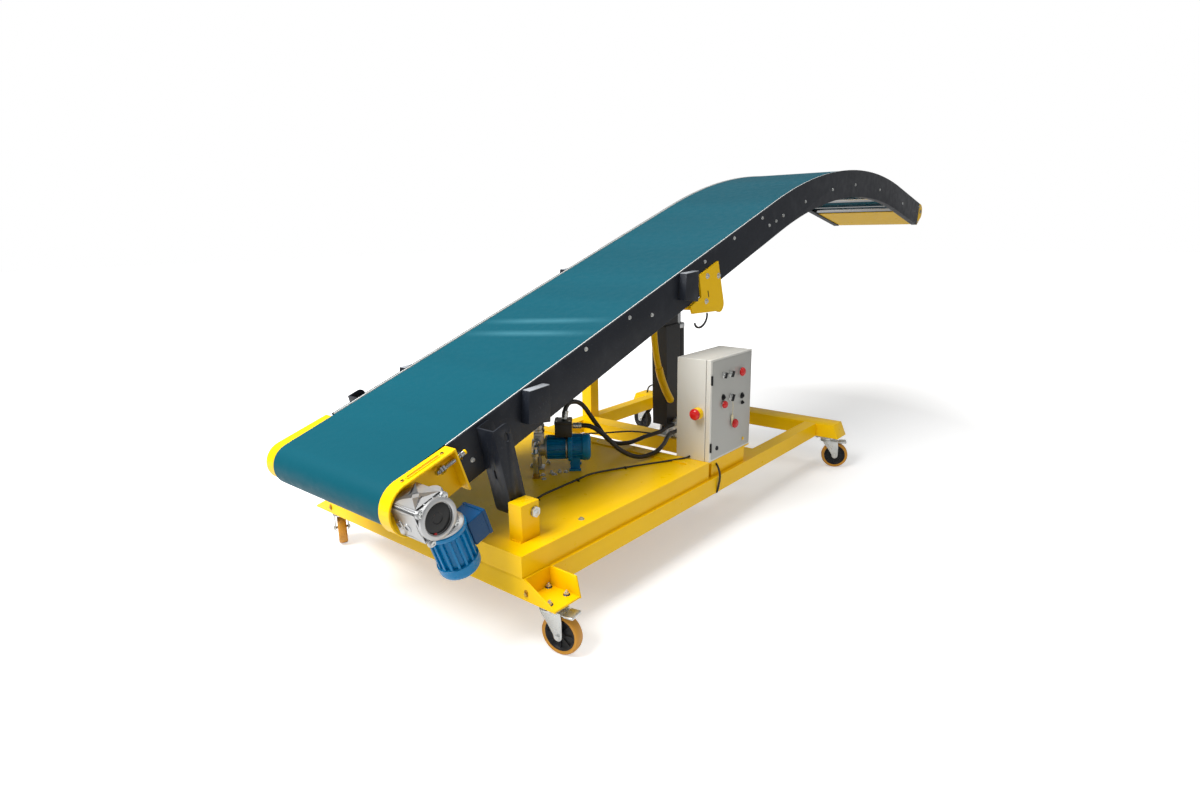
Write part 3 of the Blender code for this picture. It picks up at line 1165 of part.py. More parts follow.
clear_scene()
PARTS = new_collection("truck_loading_conveyor")
CUTTERS = new_collection("cutters")
make_materials()
BASE = bpy.data.objects.new("base", None)
BASE.location = (-MIDDLE_X, 0.0, 0.0)
CUTTERS.objects.link(BASE)
BOOM = joint_frame("boom_tilt_axis", (TILT_X, 0.0, TILT_Z), (0.0, -SLOPE, 0.0))
build_crossbeams()
build_side_tubes()
build_deck()
build_lift_member()
build_rest_post()
build_pivot_blocks()
build_cabinet()
build_castors()
build_side_frames(BOOM)
build_bed(BOOM)
build_return_rollers(BOOM)
build_belt(BOOM)
build_end_rollers(BOOM)
build_tail_brackets(BOOM)
build_head_guard(BOOM)
build_pivot_legs(BOOM)
build_drive(BOOM)
build_crosshead(BOOM)
build_lift()
build_hydraulic_unit()
build_lines(BOOM)
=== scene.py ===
"""Looks of the mobile truck loading conveyor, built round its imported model.

Everything is in metres in the model's own frame: +X towards the discharge head, -Y is the side
with the drive and the control cabinet, +Z up, the floor at Z = 0.
"""

import json
import logging
import math
from contextlib import contextmanager
from dataclasses import dataclass, field
from enum import Enum
from typing import Callable, Iterator, Sequence

import bmesh
import bpy
from mathutils import Matrix, Vector

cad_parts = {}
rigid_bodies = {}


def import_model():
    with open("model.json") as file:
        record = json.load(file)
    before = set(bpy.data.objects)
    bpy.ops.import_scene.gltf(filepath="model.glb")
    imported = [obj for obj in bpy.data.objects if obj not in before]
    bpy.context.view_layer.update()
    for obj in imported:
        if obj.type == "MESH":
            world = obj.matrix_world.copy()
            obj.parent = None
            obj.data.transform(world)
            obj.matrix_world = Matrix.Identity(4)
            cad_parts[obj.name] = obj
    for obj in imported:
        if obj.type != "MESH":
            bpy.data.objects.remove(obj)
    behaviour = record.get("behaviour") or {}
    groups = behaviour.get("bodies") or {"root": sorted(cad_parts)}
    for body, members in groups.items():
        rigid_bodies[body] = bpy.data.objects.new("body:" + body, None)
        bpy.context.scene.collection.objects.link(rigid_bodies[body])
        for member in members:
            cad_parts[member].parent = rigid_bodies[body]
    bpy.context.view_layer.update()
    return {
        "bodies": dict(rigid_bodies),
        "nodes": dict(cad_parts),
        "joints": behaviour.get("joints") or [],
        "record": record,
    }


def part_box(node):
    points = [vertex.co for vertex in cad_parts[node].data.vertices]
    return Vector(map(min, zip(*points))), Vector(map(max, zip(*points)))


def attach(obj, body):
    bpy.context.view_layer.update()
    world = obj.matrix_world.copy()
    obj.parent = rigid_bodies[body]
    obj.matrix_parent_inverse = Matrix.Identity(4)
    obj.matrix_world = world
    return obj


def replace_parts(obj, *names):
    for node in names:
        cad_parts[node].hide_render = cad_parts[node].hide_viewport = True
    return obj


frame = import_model()

Object = bpy.types.Object
Node = bpy.types.Node
Socket = bpy.types.NodeSocket
Mesh = bmesh.types.BMesh
Point = tuple[float, float, float]
Colour = tuple[float, float, float, float]
Flat = tuple[float, float]

log = logging.getLogger("conveyor")

# Where the front face of the front crossbeam lies along X
FRONT_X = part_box("front_crossbeam")[0].x
NEAR = -1.0
FAR = 1.0
SIDES = (("near", NEAR), ("far", FAR))


def at_base(x: float, y: float, z: float) -> Vector:
    """Give the point at a distance behind the front crossbeam's front face."""
    return Vector((FRONT_X + x, y, z))


def flat_mm(*values: float) -> tuple[Flat, ...]:
    """Read flat points that are written one after the other in millimetres."""
    return tuple((u / 1000, v / 1000) for u, v in zip(values[::2], values[1::2]))


def route_mm(*values: float) -> tuple[Point, ...]:
    """Read points in space that are written one after the other in millimetres."""
    return tuple((x / 1000, y / 1000, z / 1000) for x, y, z in zip(values[::3], values[1::3], values[2::3]))


def shift(x: float, y: float, z: float) -> Matrix:
    """Give the placing that moves by a distance along each axis."""
    return Matrix.Translation((x, y, z))


def on_base(x: float, y: float, z: float) -> Matrix:
    """Give the placing at a distance behind the front crossbeam's front face."""
    return Matrix.Translation(at_base(x, y, z))


def spun(axis: str, degrees: float) -> Matrix:
    """Give the placing that turns about an axis."""
    return Matrix.Rotation(math.radians(degrees), 4, axis)


def arc(centre: Flat, radii: float | Flat, start: float, end: float, steps: int) -> list[Flat]:
    """List the points of an arc, round or oval.

    Args:
        centre: The arc's middle.
        radii: The radius, or one along U and one along V.
        start: The first point's angle in degrees.
        end: The last point's angle in degrees.
        steps: Steps from the first point to the last.

    Returns:
        The points, one more than the steps.
    """
    wide, high = radii if isinstance(radii, tuple) else (radii, radii)
    angles = [math.radians(start + (end - start) * step / steps) for step in range(steps + 1)]
    return [(centre[0] + wide * math.cos(angle), centre[1] + high * math.sin(angle)) for angle in angles]


def around(count: int, offset: float = 0.0) -> list[Matrix]:
    """Share a full turn about Z evenly, the first turn offset by a share of a step."""
    return [Matrix.Rotation(math.tau * (index + offset) / count, 4, "Z") for index in range(count)]


def corners(u: float, v: float) -> list[Matrix]:
    """Give the placings at the four corners of a rectangle about the origin, by half its sides."""
    return [shift(x, y, 0.0) for x in (-u, u) for y in (-v, v)]


def linear(code: str) -> Colour:
    """Turn a colour written as #RRGGBB into the shader's linear values.

    Args:
        code: The colour as it should look, as #RRGGBB.

    Returns:
        The linear red, green and blue and an alpha of 1.
    """
    values = []
    for start in (1, 3, 5):
        share = int(code[start:start + 2], 16) / 255
        values.append(share / 12.92 if share <= 0.04045 else ((share + 0.055) / 1.055) ** 2.4)
    return values[0], values[1], values[2], 1.0


class Relief(Enum):
    """The fine relief that a finish shows up close."""

    ORANGE_PEEL = "orange peel"
    CAST = "cast"
    BRUSHED = "brushed"
    MOULDED = "moulded"
    WOVEN = "woven"
    GALVANISED = "galvanised"
    SMOOTH = "smooth"


# The noises of each relief: scale, detail, distortion, depth in metres and strength
NOISES = {
    Relief.ORANGE_PEEL: ((420.0, 2.0, 0.0, 0.00012, 0.35), (14.0, 2.0, 0.0, 0.0012, 0.1)),
    Relief.CAST: ((700.0, 4.0, 0.0, 0.0005, 0.6), (60.0, 4.0, 0.8, 0.003, 0.55)),
    Relief.BRUSHED: ((900.0, 3.0, 0.0, 0.0002, 0.35),),
    Relief.MOULDED: ((900.0, 3.0, 0.0, 0.0002, 0.3),),
    Relief.WOVEN: ((1200.0, 2.0, 0.0, 0.0004, 0.6),),
}


class Wiring:
    """A material's nodes, added and joined one by one."""

    def __init__(self, name: str) -> None:
        """Make an empty material with one shader.

        Args:
            name: The material's name.
        """
        self.material = bpy.data.materials.new(name)
        self.material.use_nodes = True
        self.tree = self.material.node_tree
        self.shader = self.tree.nodes["Principled BSDF"]
        self.position = self.add("ShaderNodeTexCoord").outputs["Object"]

    def add(self, kind: str, **settings: object) -> Node:
        """Add a node and set its properties and sockets.

        Args:
            kind: The node's type.
            settings: Properties of the node, or values of its sockets by name.

        Returns:
            The new node.
        """
        return self.tune(self.tree.nodes.new(kind), **settings)

    def tune(self, node: Node, **settings: object) -> Node:
        """Set a node's properties, or its sockets by name, and give the node back."""
        for name, value in settings.items():
            if hasattr(node, name):
                setattr(node, name, value)
            else:
                node.inputs[name.replace("_", " ")].default_value = value
        return node

    def join(self, source: Socket, node: Node, socket: str | int) -> None:
        """Link an output to a node's input."""
        self.tree.links.new(source, node.inputs[socket])

    def stretched(self, scale: Point, place: Socket | None = None) -> Socket:
        """Scale coordinates axis by axis.

        Args:
            scale: How much each axis is scaled.
            place: Other coordinates than the object's own.

        Returns:
            The changed coordinates.
        """
        mapping = self.add("ShaderNodeMapping", Scale=scale)
        self.join(place or self.position, mapping, "Vector")
        return mapping.outputs["Vector"]

    def noise(self, scale: float, detail: float = 3.0, place: Socket | None = None,
              distortion: float = 0.0) -> Socket:
        """Add a noise that reads the object's coordinates.

        Args:
            scale: Features per metre.
            detail: Octaves of detail.
            place: Other coordinates to read.
            distortion: How far the pattern is pulled about.

        Returns:
            The noise between 0 and 1.
        """
        node = self.add("ShaderNodeTexNoise", Scale=scale, Detail=detail, Distortion=distortion)
        self.join(place or self.position, node, "Vector")
        return node.outputs["Fac"]

    def span(self, source: Socket, low: float, high: float, to_low: float = 0.0,
             to_high: float = 1.0) -> Socket:
        """Map a range of values onto another, clamped.

        Args:
            source: The value that is read.
            low: Its value that gives to_low.
            high: Its value that gives to_high.
            to_low: The result at the low end.
            to_high: The result at the high end.

        Returns:
            The mapped value.
        """
        node = self.add("ShaderNodeMapRange", From_Min=low, From_Max=high, To_Min=to_low, To_Max=to_high)
        self.join(source, node, "Value")
        return node.outputs["Result"]

    def maths(self, operation: str, first: Socket | float,
              second: Socket | float = 0.0) -> Socket:
        """Work out a sum, product or other simple function of two values.

        Args:
            operation: The Math node's operation.
            first: A socket or a number.
            second: A socket or a number.

        Returns:
            The result.
        """
        node = self.add("ShaderNodeMath", operation=operation)
        for index, value in enumerate((first, second)):
            if isinstance(value, float):
                node.inputs[index].default_value = value
            else:
                self.join(value, node, index)
        return node.outputs[0]

    def blend(self, share: Socket, first: object, second: object) -> Socket:
        """Mix two colours.

        Args:
            share: How much of the second colour shows.
            first: A colour, or a socket that gives one.
            second: A colour, or a socket that gives one.

        Returns:
            The mixed colour.
        """
        node = self.add("ShaderNodeMix", data_type="RGBA")
        self.join(share, node, 0)
        for socket, value in ((6, first), (7, second)):
            if isinstance(value, Socket):
                self.join(value, node, socket)
            else:
                node.inputs[socket].default_value = value
        return node.outputs[2]

    def relief(self, height: Socket, depth: float, strength: float = 1.0) -> None:
        """Let a height stand out of the surface.

        Args:
            height: The height between 0 and 1.
            depth: The relief's depth in metres.
            strength: How much of it the light shows.
        """
        bump = self.add("ShaderNodeBump", Strength=strength, Distance=depth)
        self.join(height, bump, "Height")
        before = self.shader.inputs["Normal"].links
        if before:
            self.join(before[0].from_socket, bump, "Normal")
        self.join(bump.outputs["Normal"], self.shader, "Normal")


def shade(code: str, factor: float) -> Colour:
    """Give a written colour made darker or lighter."""
    red, green, blue, alpha = linear(code)
    return min(red * factor, 1.0), min(green * factor, 1.0), min(blue * factor, 1.0), alpha


@dataclass(frozen=True)
class Finish:
    """A finish: its colour, gloss, fine relief and how it drifts and wears.

    Attributes:
        name: The finish in a maker's words.
        colour: The colour as it should look.
        roughness: The usual roughness.
        relief: The fine relief.
        metallic: 1 for bare metal.
        coat: Weight of a clear coat.
        drift: How much the colour drifts over the surface.
        dirt: How much dust and grime lies in broad patches.
        dirt_colour: The colour of that grime.
        shine: Level of the plain reflection.
    """

    name: str
    colour: str
    roughness: float
    relief: Relief = Relief.SMOOTH
    metallic: float = 0.0
    coat: float = 0.0
    drift: float = 0.06
    dirt: float = 0.0
    dirt_colour: str = "#3A3020"
    shine: float = 0.25

    def material(self) -> bpy.types.Material:
        """Build the finish's material once, and give it again when it is asked for."""
        if self.name in bpy.data.materials:
            return bpy.data.materials[self.name]
        wiring = Wiring(self.name)
        shader = wiring.tune(wiring.shader, Metallic=self.metallic,
                             Specular_IOR_Level=0.5 if self.metallic else self.shine)
        if self.coat:
            wiring.tune(shader, Coat_Weight=self.coat, Coat_Roughness=0.12)
        broad = wiring.span(wiring.noise(3.2, 4.0), 0.3, 0.7)
        colour = wiring.blend(broad, shade(self.colour, 1.0 - self.drift), shade(self.colour, 1.0 + self.drift))
        if self.dirt:
            patches = wiring.span(wiring.noise(9.0, 8.0, distortion=0.6), 0.52, 0.72, 0.0, self.dirt)
            specks = wiring.span(wiring.noise(140.0, 3.0), 0.62, 0.7, 0.0, self.dirt * 1.5)
            grime = wiring.maths("MAXIMUM", patches, specks)
            colour = wiring.blend(grime, colour, linear(self.dirt_colour))
        wiring.join(colour, shader, "Base Color")
        gloss = wiring.span(wiring.noise(26.0, 5.0), 0.3, 0.7, self.roughness * 0.85, self.roughness * 1.18)
        wiring.join(gloss, shader, "Roughness")
        self.add_relief(wiring)
        return wiring.material

    def add_relief(self, wiring: Wiring) -> None:
        """Wire the finish's fine relief.

        Args:
            wiring: The nodes of the finish's material.
        """
        place = wiring.stretched((0.06, 1.0, 1.0)) if self.relief is Relief.BRUSHED else None
        for scale, detail, distortion, depth, strength in NOISES.get(self.relief, ()):
            wiring.relief(wiring.noise(scale, detail, place, distortion), depth, strength)
        if self.relief is Relief.GALVANISED:
            cells = wiring.add("ShaderNodeTexVoronoi", Scale=160.0)
            wiring.join(wiring.position, cells, "Vector")
            wiring.relief(cells.outputs["Distance"], 0.0003, 0.25)


class Paints:
    """The conveyor's finishes by the name of the part they cover."""

    YELLOW = Finish("yellow_gloss_paint", "#FFCA00", 0.32, Relief.ORANGE_PEEL, coat=0.04, drift=0.03,
                    dirt=0.02, dirt_colour="#7A5A05", shine=0.16)
    ANTHRACITE = Finish("anthracite_paint", "#1C2028", 0.38, Relief.ORANGE_PEEL, coat=0.03, drift=0.12,
                        dirt=0.12, dirt_colour="#5A5C60")
    BLACK_PAINT = Finish("black_paint", "#1B1C1E", 0.34, Relief.ORANGE_PEEL, coat=0.2, drift=0.12,
                         dirt=0.1, dirt_colour="#4A4A4A")
    MOTOR_BLUE = Finish("motor_blue_paint", "#0079B0", 0.28, Relief.ORANGE_PEEL, coat=0.1, drift=0.1,
                        dirt=0.08, dirt_colour="#101820")
    DARK_BLUE = Finish("terminal_box_blue", "#003E68", 0.3, Relief.ORANGE_PEEL, coat=0.08, drift=0.1)
    CAST_METAL = Finish("cast_aluminium", "#D2D3D4", 0.3, Relief.CAST, metallic=0.72, drift=0.16,
                        dirt=0.55, dirt_colour="#1A1A1B")
    ZINC = Finish("zinc_plate", "#D4D6D4", 0.28, Relief.GALVANISED, metallic=0.8, drift=0.1,
                  dirt=0.22, dirt_colour="#5A5448")
    STEEL = Finish("bare_steel", "#B9BABB", 0.24, Relief.BRUSHED, metallic=1.0, drift=0.08)
    BRASS = Finish("brass_fitting", "#B99A55", 0.32, Relief.BRUSHED, metallic=0.95, drift=0.1)
    CABINET = Finish("cabinet_paint", "#FFFDF6", 0.42, Relief.ORANGE_PEEL, drift=0.03, dirt=0.03)
    DOOR = Finish("door_paint", "#DAD8CE", 0.42, Relief.ORANGE_PEEL, drift=0.03, dirt=0.04)
    RED = Finish("red_plastic", "#D8201C", 0.25, Relief.MOULDED, coat=0.4, drift=0.05)
    STOP_YELLOW = Finish("stop_yellow_plastic", "#F4C400", 0.35, Relief.MOULDED, drift=0.04)
    BLACK_PLASTIC = Finish("black_plastic", "#17181A", 0.38, Relief.MOULDED, drift=0.1)
    # White for the strip along the side frames' top edges, where a light line runs beside the belt.
    TOP_EDGE_WHITE = Finish("top_edge_white", "#D6D8D4", 0.35, Relief.MOULDED, drift=0.03)
    CREAM_CARD = Finish("cream_card", "#E9DDB4", 0.7, Relief.MOULDED, drift=0.04)
    RUBBER = Finish("black_rubber", "#141516", 0.48, Relief.WOVEN, drift=0.15, dirt=0.12, dirt_colour="#4A463C")
    AMBER = Finish("amber_tread", "#C98A1E", 0.42, Relief.MOULDED, coat=0.15, drift=0.1, dirt=0.25,
                   dirt_colour="#3A2C14")
    # Painted highlight: pale grey for the lit slanted tops of the frame clamps.
    CLAMP_TOP_HIGHLIGHT = Finish("clamp_top_painted_highlight", "#9DA1A6", 0.34, Relief.ORANGE_PEEL, coat=0.3, drift=0.05)
    BLUED_STEEL = Finish("blued_steel", "#3C4F78", 0.28, metallic=0.85, drift=0.12)
    # Painted shade: dark yellow laid in slots and holes that show only their shaded depth.
    SLOT_SHADE_BROWN = Finish("slot_shade", "#C08400", 0.55, drift=0.05)
    # Painted shade: near black for the lift bracket's slot opening.
    SLOT_SHADE_DARK = Finish("slot_painted_shade_dark", "#2E2408", 0.6, drift=0.08)
    # The far rear castor's tread is coloured near black, the other treads amber.
    FAR_TREAD = Finish("far_black_tread", "#26241F", 0.5, Relief.MOULDED, drift=0.15)
    SEAL_BROWN = Finish("seal_rubber", "#3A2A22", 0.6, drift=0.08)
    # Painted shade: black for the inside of the gearbox's deep bore.
    BORE_SHADE_BLACK = Finish("bore_painted_shade", "#060708", 0.3, coat=0.3, drift=0.1)
    CORE = Finish("wheel_core", "#1E1F22", 0.42, Relief.MOULDED, drift=0.12, dirt=0.18, dirt_colour="#55524A")


@dataclass(frozen=True)
class BeltFinish:
    """The belt's cover: fine woven rubberised fabric, with painted highlights on its ripples.

    Attributes:
        name: The finish's name.
        colour: The cover's colour.
        thread: Threads per metre across and along the belt.
        band: How much paler the broad worn bands are.
        sheen_ripples: Where the painted highlights of the belt's ripples cross it, along its map.
        skew: How much further up they lie per metre to the near side.
        ripple: Half a highlight's width and how much its pale colour shows.
        ripple_sheen_colour: The pale colour of that painted highlight.
    """

    name: str = "teal_woven_belt"
    colour: str = "#03505F"
    thread: float = 260.0
    band: float = 0.1
    sheen_ripples: tuple[float, ...] = (0.839, 0.944)
    skew: float = 0.185
    ripple: Flat = (0.03, 0.32)
    ripple_sheen_colour: str = "#5FA0B0"

    def material(self) -> bpy.types.Material:
        """Build the belt's material on its own lengthwise map."""
        wiring = Wiring(self.name)
        lengthwise = wiring.add("ShaderNodeUVMap", uv_map="lengthwise").outputs["UV"]
        parts = wiring.add("ShaderNodeSeparateXYZ")
        wiring.join(lengthwise, parts, 0)
        across = wiring.maths("SINE", wiring.maths("MULTIPLY", parts.outputs[0], self.thread * math.tau))
        along = wiring.maths("SINE", wiring.maths("MULTIPLY", parts.outputs[1], self.thread * 0.55 * math.tau))
        weave = wiring.maths("MULTIPLY", across, along)
        bands = wiring.span(wiring.noise(1.6, 3.0, wiring.stretched((0.35, 2.2, 1.0), lengthwise)), 0.35, 0.72)
        colour = wiring.blend(bands, shade(self.colour, 1.0 - self.band * 0.4), shade(self.colour, 1.0 + self.band))
        skewed = wiring.maths("ADD", parts.outputs[1], wiring.maths("MULTIPLY", parts.outputs[0], self.skew))
        fade = wiring.span(wiring.maths("ABSOLUTE", parts.outputs[0]), 0.08, 0.27, 1.0, 0.15)
        # Pale bands across the belt at its ripples: painted highlight where the light catches them.
        for place in self.sheen_ripples:
            away = wiring.maths("ABSOLUTE", wiring.maths("SUBTRACT", skewed, place))
            share = wiring.span(away, 0.0, self.ripple[0], self.ripple[1], 0.0)
            colour = wiring.blend(wiring.maths("MULTIPLY", share, fade), colour, linear(self.ripple_sheen_colour))
        thread = wiring.span(weave, -1.0, 1.0, 0.0, 0.1)
        colour = wiring.blend(thread, colour, shade(self.colour, 0.55))
        wiring.join(colour, wiring.shader, "Base Color")
        gloss = wiring.span(wiring.noise(30.0, 4.0, lengthwise), 0.3, 0.7, 0.42, 0.56)
        wiring.join(gloss, wiring.shader, "Roughness")
        wiring.tune(wiring.shader, Specular_IOR_Level=0.1)
        wiring.relief(wiring.span(weave, -1.0, 1.0), 0.0005, 0.35)
        wiring.relief(wiring.noise(900.0, 2.0), 0.0003, 0.25)
        return wiring.material


def take(*objects: Object) -> None:
    """Select these objects alone, the first of them active."""
    bpy.ops.object.select_all(action="DESELECT")
    for obj in objects:
        obj.select_set(True)
    bpy.context.view_layer.objects.active = objects[0]


def shown(obj: Object) -> None:
    """Put an object into the scene."""
    bpy.context.scene.collection.objects.link(obj)


@contextmanager
def editing(obj: Object, kind: str = "FACE") -> Iterator[Mesh]:
    """Work on a piece in edit mode, with nothing of it selected at first.

    Args:
        obj: The piece.
        kind: VERT, EDGE or FACE, what is selected by.

    Yields:
        The mesh that is edited.
    """
    take(obj)
    bpy.ops.object.mode_set(mode="EDIT")
    bpy.ops.mesh.select_mode(type=kind)
    bpy.ops.mesh.select_all(action="DESELECT")
    yield bmesh.from_edit_mesh(obj.data)
    bpy.ops.object.mode_set(mode="OBJECT")


def pick_faces(obj: Object, mesh: Mesh, test: Callable[[Vector, Vector], bool]) -> None:
    """Select the faces whose centre and normal pass a test."""
    for face in mesh.faces:
        face.select_set(test(face.calc_center_median(), face.normal))
    bmesh.update_edit_mesh(obj.data)


def pick_edges(obj: Object, mesh: Mesh, test: Callable[[Vector, Vector], bool]) -> None:
    """Select the edges whose middle and direction pass a test."""
    for edge in mesh.edges:
        start, end = edge.verts[0].co, edge.verts[1].co
        edge.select_set(test((start + end) / 2, (end - start).normalized()))
    bmesh.update_edit_mesh(obj.data)


def mended(merge: float = 0.0) -> None:
    """Turn the edited piece's faces outwards, its corners merged first where they lie this close."""
    bpy.ops.mesh.select_all(action="SELECT")
    if merge:
        bpy.ops.mesh.remove_doubles(threshold=merge)
    bpy.ops.mesh.normals_make_consistent(inside=False)


def drawn(curve: bpy.types.Curve, merge: float) -> Object:
    """Turn a curve into a closed mesh, its corners merged where they lie this close."""
    obj = bpy.data.objects.new(curve.name, curve)
    shown(obj)
    take(obj)
    bpy.ops.object.convert(target="MESH")
    obj = bpy.context.object
    with editing(obj):
        mended(merge)
    return obj


def settle(obj: Object) -> Object:
    """Put an object's place, turn and size into its mesh."""
    take(obj)
    bpy.ops.object.transform_apply(location=True, rotation=True, scale=True)
    return obj


def moved(obj: Object, place: Matrix) -> Object:
    """Move a finished shape to its place, in its mesh."""
    obj.data.transform(place)
    if place.determinant() < 0:
        obj.data.flip_normals()
    return obj


def slab(low: Sequence[float], high: Sequence[float], round_off: float = 0.0, segments: int = 2) -> Object:
    """Add a block between two corners and round its edges.

    Args:
        low: The lowest corner.
        high: The highest corner.
        round_off: The rounding's width.
        segments: Faces across the rounding.

    Returns:
        The block, with its place in its mesh.
    """
    low, high = Vector(low), Vector(high)
    bpy.ops.mesh.primitive_cube_add(size=1, location=(low + high) / 2)
    obj = bpy.context.object
    obj.scale = high - low
    settle(obj)
    if round_off:
        with editing(obj, "EDGE"):
            bpy.ops.mesh.select_all(action="SELECT")
            bpy.ops.mesh.bevel(offset=round_off, segments=segments, profile=0.7)
    return obj


def turned(profile: Sequence[Flat], sides: int = 32) -> Object:
    """Draw a solid of revolution up from its first disc, ring by ring.

    Args:
        profile: Radius and height of each ring, from the bottom disc to the top one.
        sides: Sides of the round.

    Returns:
        The solid about +Z.
    """
    radius, height = profile[0]
    bpy.ops.mesh.primitive_circle_add(vertices=sides, radius=radius, fill_type="NGON", location=(0, 0, height))
    obj = settle(bpy.context.object)
    with editing(obj):
        bpy.ops.mesh.select_all(action="SELECT")
        for (from_radius, from_height), (to_radius, to_height) in zip(profile, profile[1:]):
            bpy.ops.mesh.extrude_region_move(TRANSFORM_OT_translate={"value": (0, 0, to_height - from_height)})
            ratio = to_radius / from_radius
            bpy.ops.transform.resize(value=(ratio, ratio, 1))
        mended()
    return obj


def hoop(profile: Sequence[Flat], sides: int = 32) -> Object:
    """Draw a ring whose section is a closed outline.

    Args:
        profile: Radius and height of the section's corners, from the inner edge of one side to the other's.
        sides: Sides of the round.

    Returns:
        The ring about +Z.
    """
    obj = turned(profile, sides)
    with editing(obj):
        bpy.ops.mesh.select_face_by_sides(number=sides, type="EQUAL")
        bpy.ops.mesh.delete(type="ONLY_FACE")
        bpy.ops.mesh.select_mode(type="EDGE")
        bpy.ops.mesh.select_all(action="DESELECT")
        bpy.ops.mesh.select_non_manifold()
        bpy.ops.mesh.bridge_edge_loops()
        bpy.ops.mesh.select_mode(type="FACE")
        mended()
    return obj


def aimed(start: Vector, direction: Vector) -> Matrix:
    """Give the placing that turns +Z along a direction from a start point."""
    return Matrix.Translation(start) @ direction.to_track_quat("Z", "Y").to_matrix().to_4x4()


def bar(start: Sequence[float], end: Sequence[float], radius: float, sides: int = 16) -> Object:
    """Draw a round bar with chamfered rims between two points."""
    rim = 0.0008
    start, end = Vector(start), Vector(end)
    length = (end - start).length
    profile = [(radius - rim, 0), (radius, rim), (radius, length - rim), (radius - rim, length)]
    return moved(turned(profile, sides), aimed(start, end - start))


def plate(outlines: Sequence[Sequence[Flat]], thickness: float, round_off: float = 0.0) -> Object:
    """Cut a plate from flat outlines, the later ones holes, standing on XY.

    Args:
        outlines: The outer outline and any holes.
        thickness: The plate's thickness along +Z from Z = 0.
        round_off: The rounding of its long edges.

    Returns:
        The plate.
    """
    curve = bpy.data.curves.new("outline", "CURVE")
    curve.dimensions = "2D"
    curve.fill_mode = "BOTH"
    curve.extrude = thickness / 2
    for outline in outlines:
        spline = curve.splines.new("POLY")
        spline.points.add(len(outline) - 1)
        for point, (u, v) in zip(spline.points, outline):
            point.co = (u, v, 0, 1)
        spline.use_cyclic_u = True
    obj = moved(drawn(curve, 0.000001), shift(0, 0, thickness / 2))
    if round_off:
        with editing(obj, "EDGE") as mesh:
            for edge in mesh.edges:
                edge.select_set(edge.is_manifold and edge.calc_face_angle(0) > 1.2)
            bmesh.update_edit_mesh(obj.data)
            bpy.ops.mesh.bevel(offset=round_off, segments=2)
    return obj


def oblong(length: float, width: float) -> list[Flat]:
    """Outline a slot with round ends, long along U."""
    reach = (length - width) / 2
    return arc((reach, 0), width / 2, -90, 90, 8) + arc((-reach, 0), width / 2, 90, 270, 8)


def rounded(width: float, height: float, corner: float) -> list[Flat]:
    """Outline a rectangle with round corners about the origin."""
    reach, rise = width / 2 - corner, height / 2 - corner
    points = []
    for u, v, start in ((1, -1, -90), (1, 1, 0), (-1, 1, 90), (-1, -1, 180)):
        points += arc((u * reach, v * rise), corner, start, start + 90, 4)
    return points


def copied(obj: Object, places: Sequence[Matrix]) -> Object:
    """Copy a shape to each place, each with its own mesh, and join the copies.

    Args:
        obj: The shape that is repeated; it is used up.
        places: Where each copy goes.

    Returns:
        The joined copies.
    """
    copies = []
    for place in places:
        twin = obj.copy()
        twin.data = obj.data.copy()
        shown(twin)
        copies.append(moved(twin, place))
    bpy.data.objects.remove(obj, do_unlink=True)
    return joined(*copies)


def joined(*objects: Object) -> Object:
    """Join shapes into one piece."""
    take(*objects)
    if len(objects) > 1:
        bpy.ops.object.join()
    return bpy.context.object


def carved(obj: Object, *tools: Object) -> Object:
    """Cut other shapes out of a piece."""
    for tool in tools:
        cut = obj.modifiers.new("cut", "BOOLEAN")
        cut.operation = "DIFFERENCE"
        cut.solver = "EXACT"
        cut.object = tool
        take(obj)
        bpy.ops.object.modifier_apply(modifier=cut.name)
        bpy.data.objects.remove(tool, do_unlink=True)
    return obj


def softened(obj: Object, width: float) -> Object:
    """Round off a piece's sharp edges with a bevel that is applied."""
    bevel = obj.modifiers.new("rounding", "BEVEL")
    bevel.width = width
    bevel.segments = 2
    bevel.limit_method = "ANGLE"
    bevel.angle_limit = math.radians(35)
    bevel.use_clamp_overlap = True
    take(obj)
    bpy.ops.object.modifier_apply(modifier=bevel.name)
    return obj


def swept(points: Sequence[Sequence[float]], radius: float, sides: int = 12) -> Object:
    """Draw a round tube along points, with a lengthwise map on it.

    Args:
        points: The tube's centreline.
        radius: The tube's radius.
        sides: Sides of its round.

    Returns:
        The closed tube.
    """
    curve = bpy.data.curves.new("line", "CURVE")
    curve.dimensions = "3D"
    curve.bevel_depth = radius
    curve.bevel_resolution = max(sides // 4 - 1, 0)
    curve.use_fill_caps = True
    spline = curve.splines.new("POLY")
    spline.points.add(len(points) - 1)
    for point, place in zip(spline.points, points):
        point.co = (*place, 1)
    return drawn(curve, 0.00001)


def smooth_route(points: Sequence[Sequence[float]], spacing: float) -> list[Vector]:
    """Read evenly spaced points from a smooth curve through a given route.

    Args:
        points: The route's own points.
        spacing: Distance between the points that are read.

    Returns:
        Points along the curve.
    """
    route = [Vector(point) for point in points]
    ends = [route[0] * 2 - route[1]] + route + [route[-1] * 2 - route[-2]]
    dense = []
    for before, start, end, after in zip(ends, ends[1:], ends[2:], ends[3:]):
        for step in range(24):
            t = step / 24
            dense.append(0.5 * ((2 * start) + (end - before) * t
                                + (2 * before - 5 * start + 4 * end - after) * t ** 2
                                + (3 * start - before - 3 * end + after) * t ** 3))
    dense.append(route[-1])
    spaced = [dense[0]]
    travelled = 0
    for first, second in zip(dense, dense[1:]):
        travelled += (second - first).length
        if travelled >= spacing:
            spaced.append(second)
            travelled = 0
    if (spaced[-1] - dense[-1]).length < spacing * 0.5:
        spaced.pop()
    return spaced + [dense[-1]]


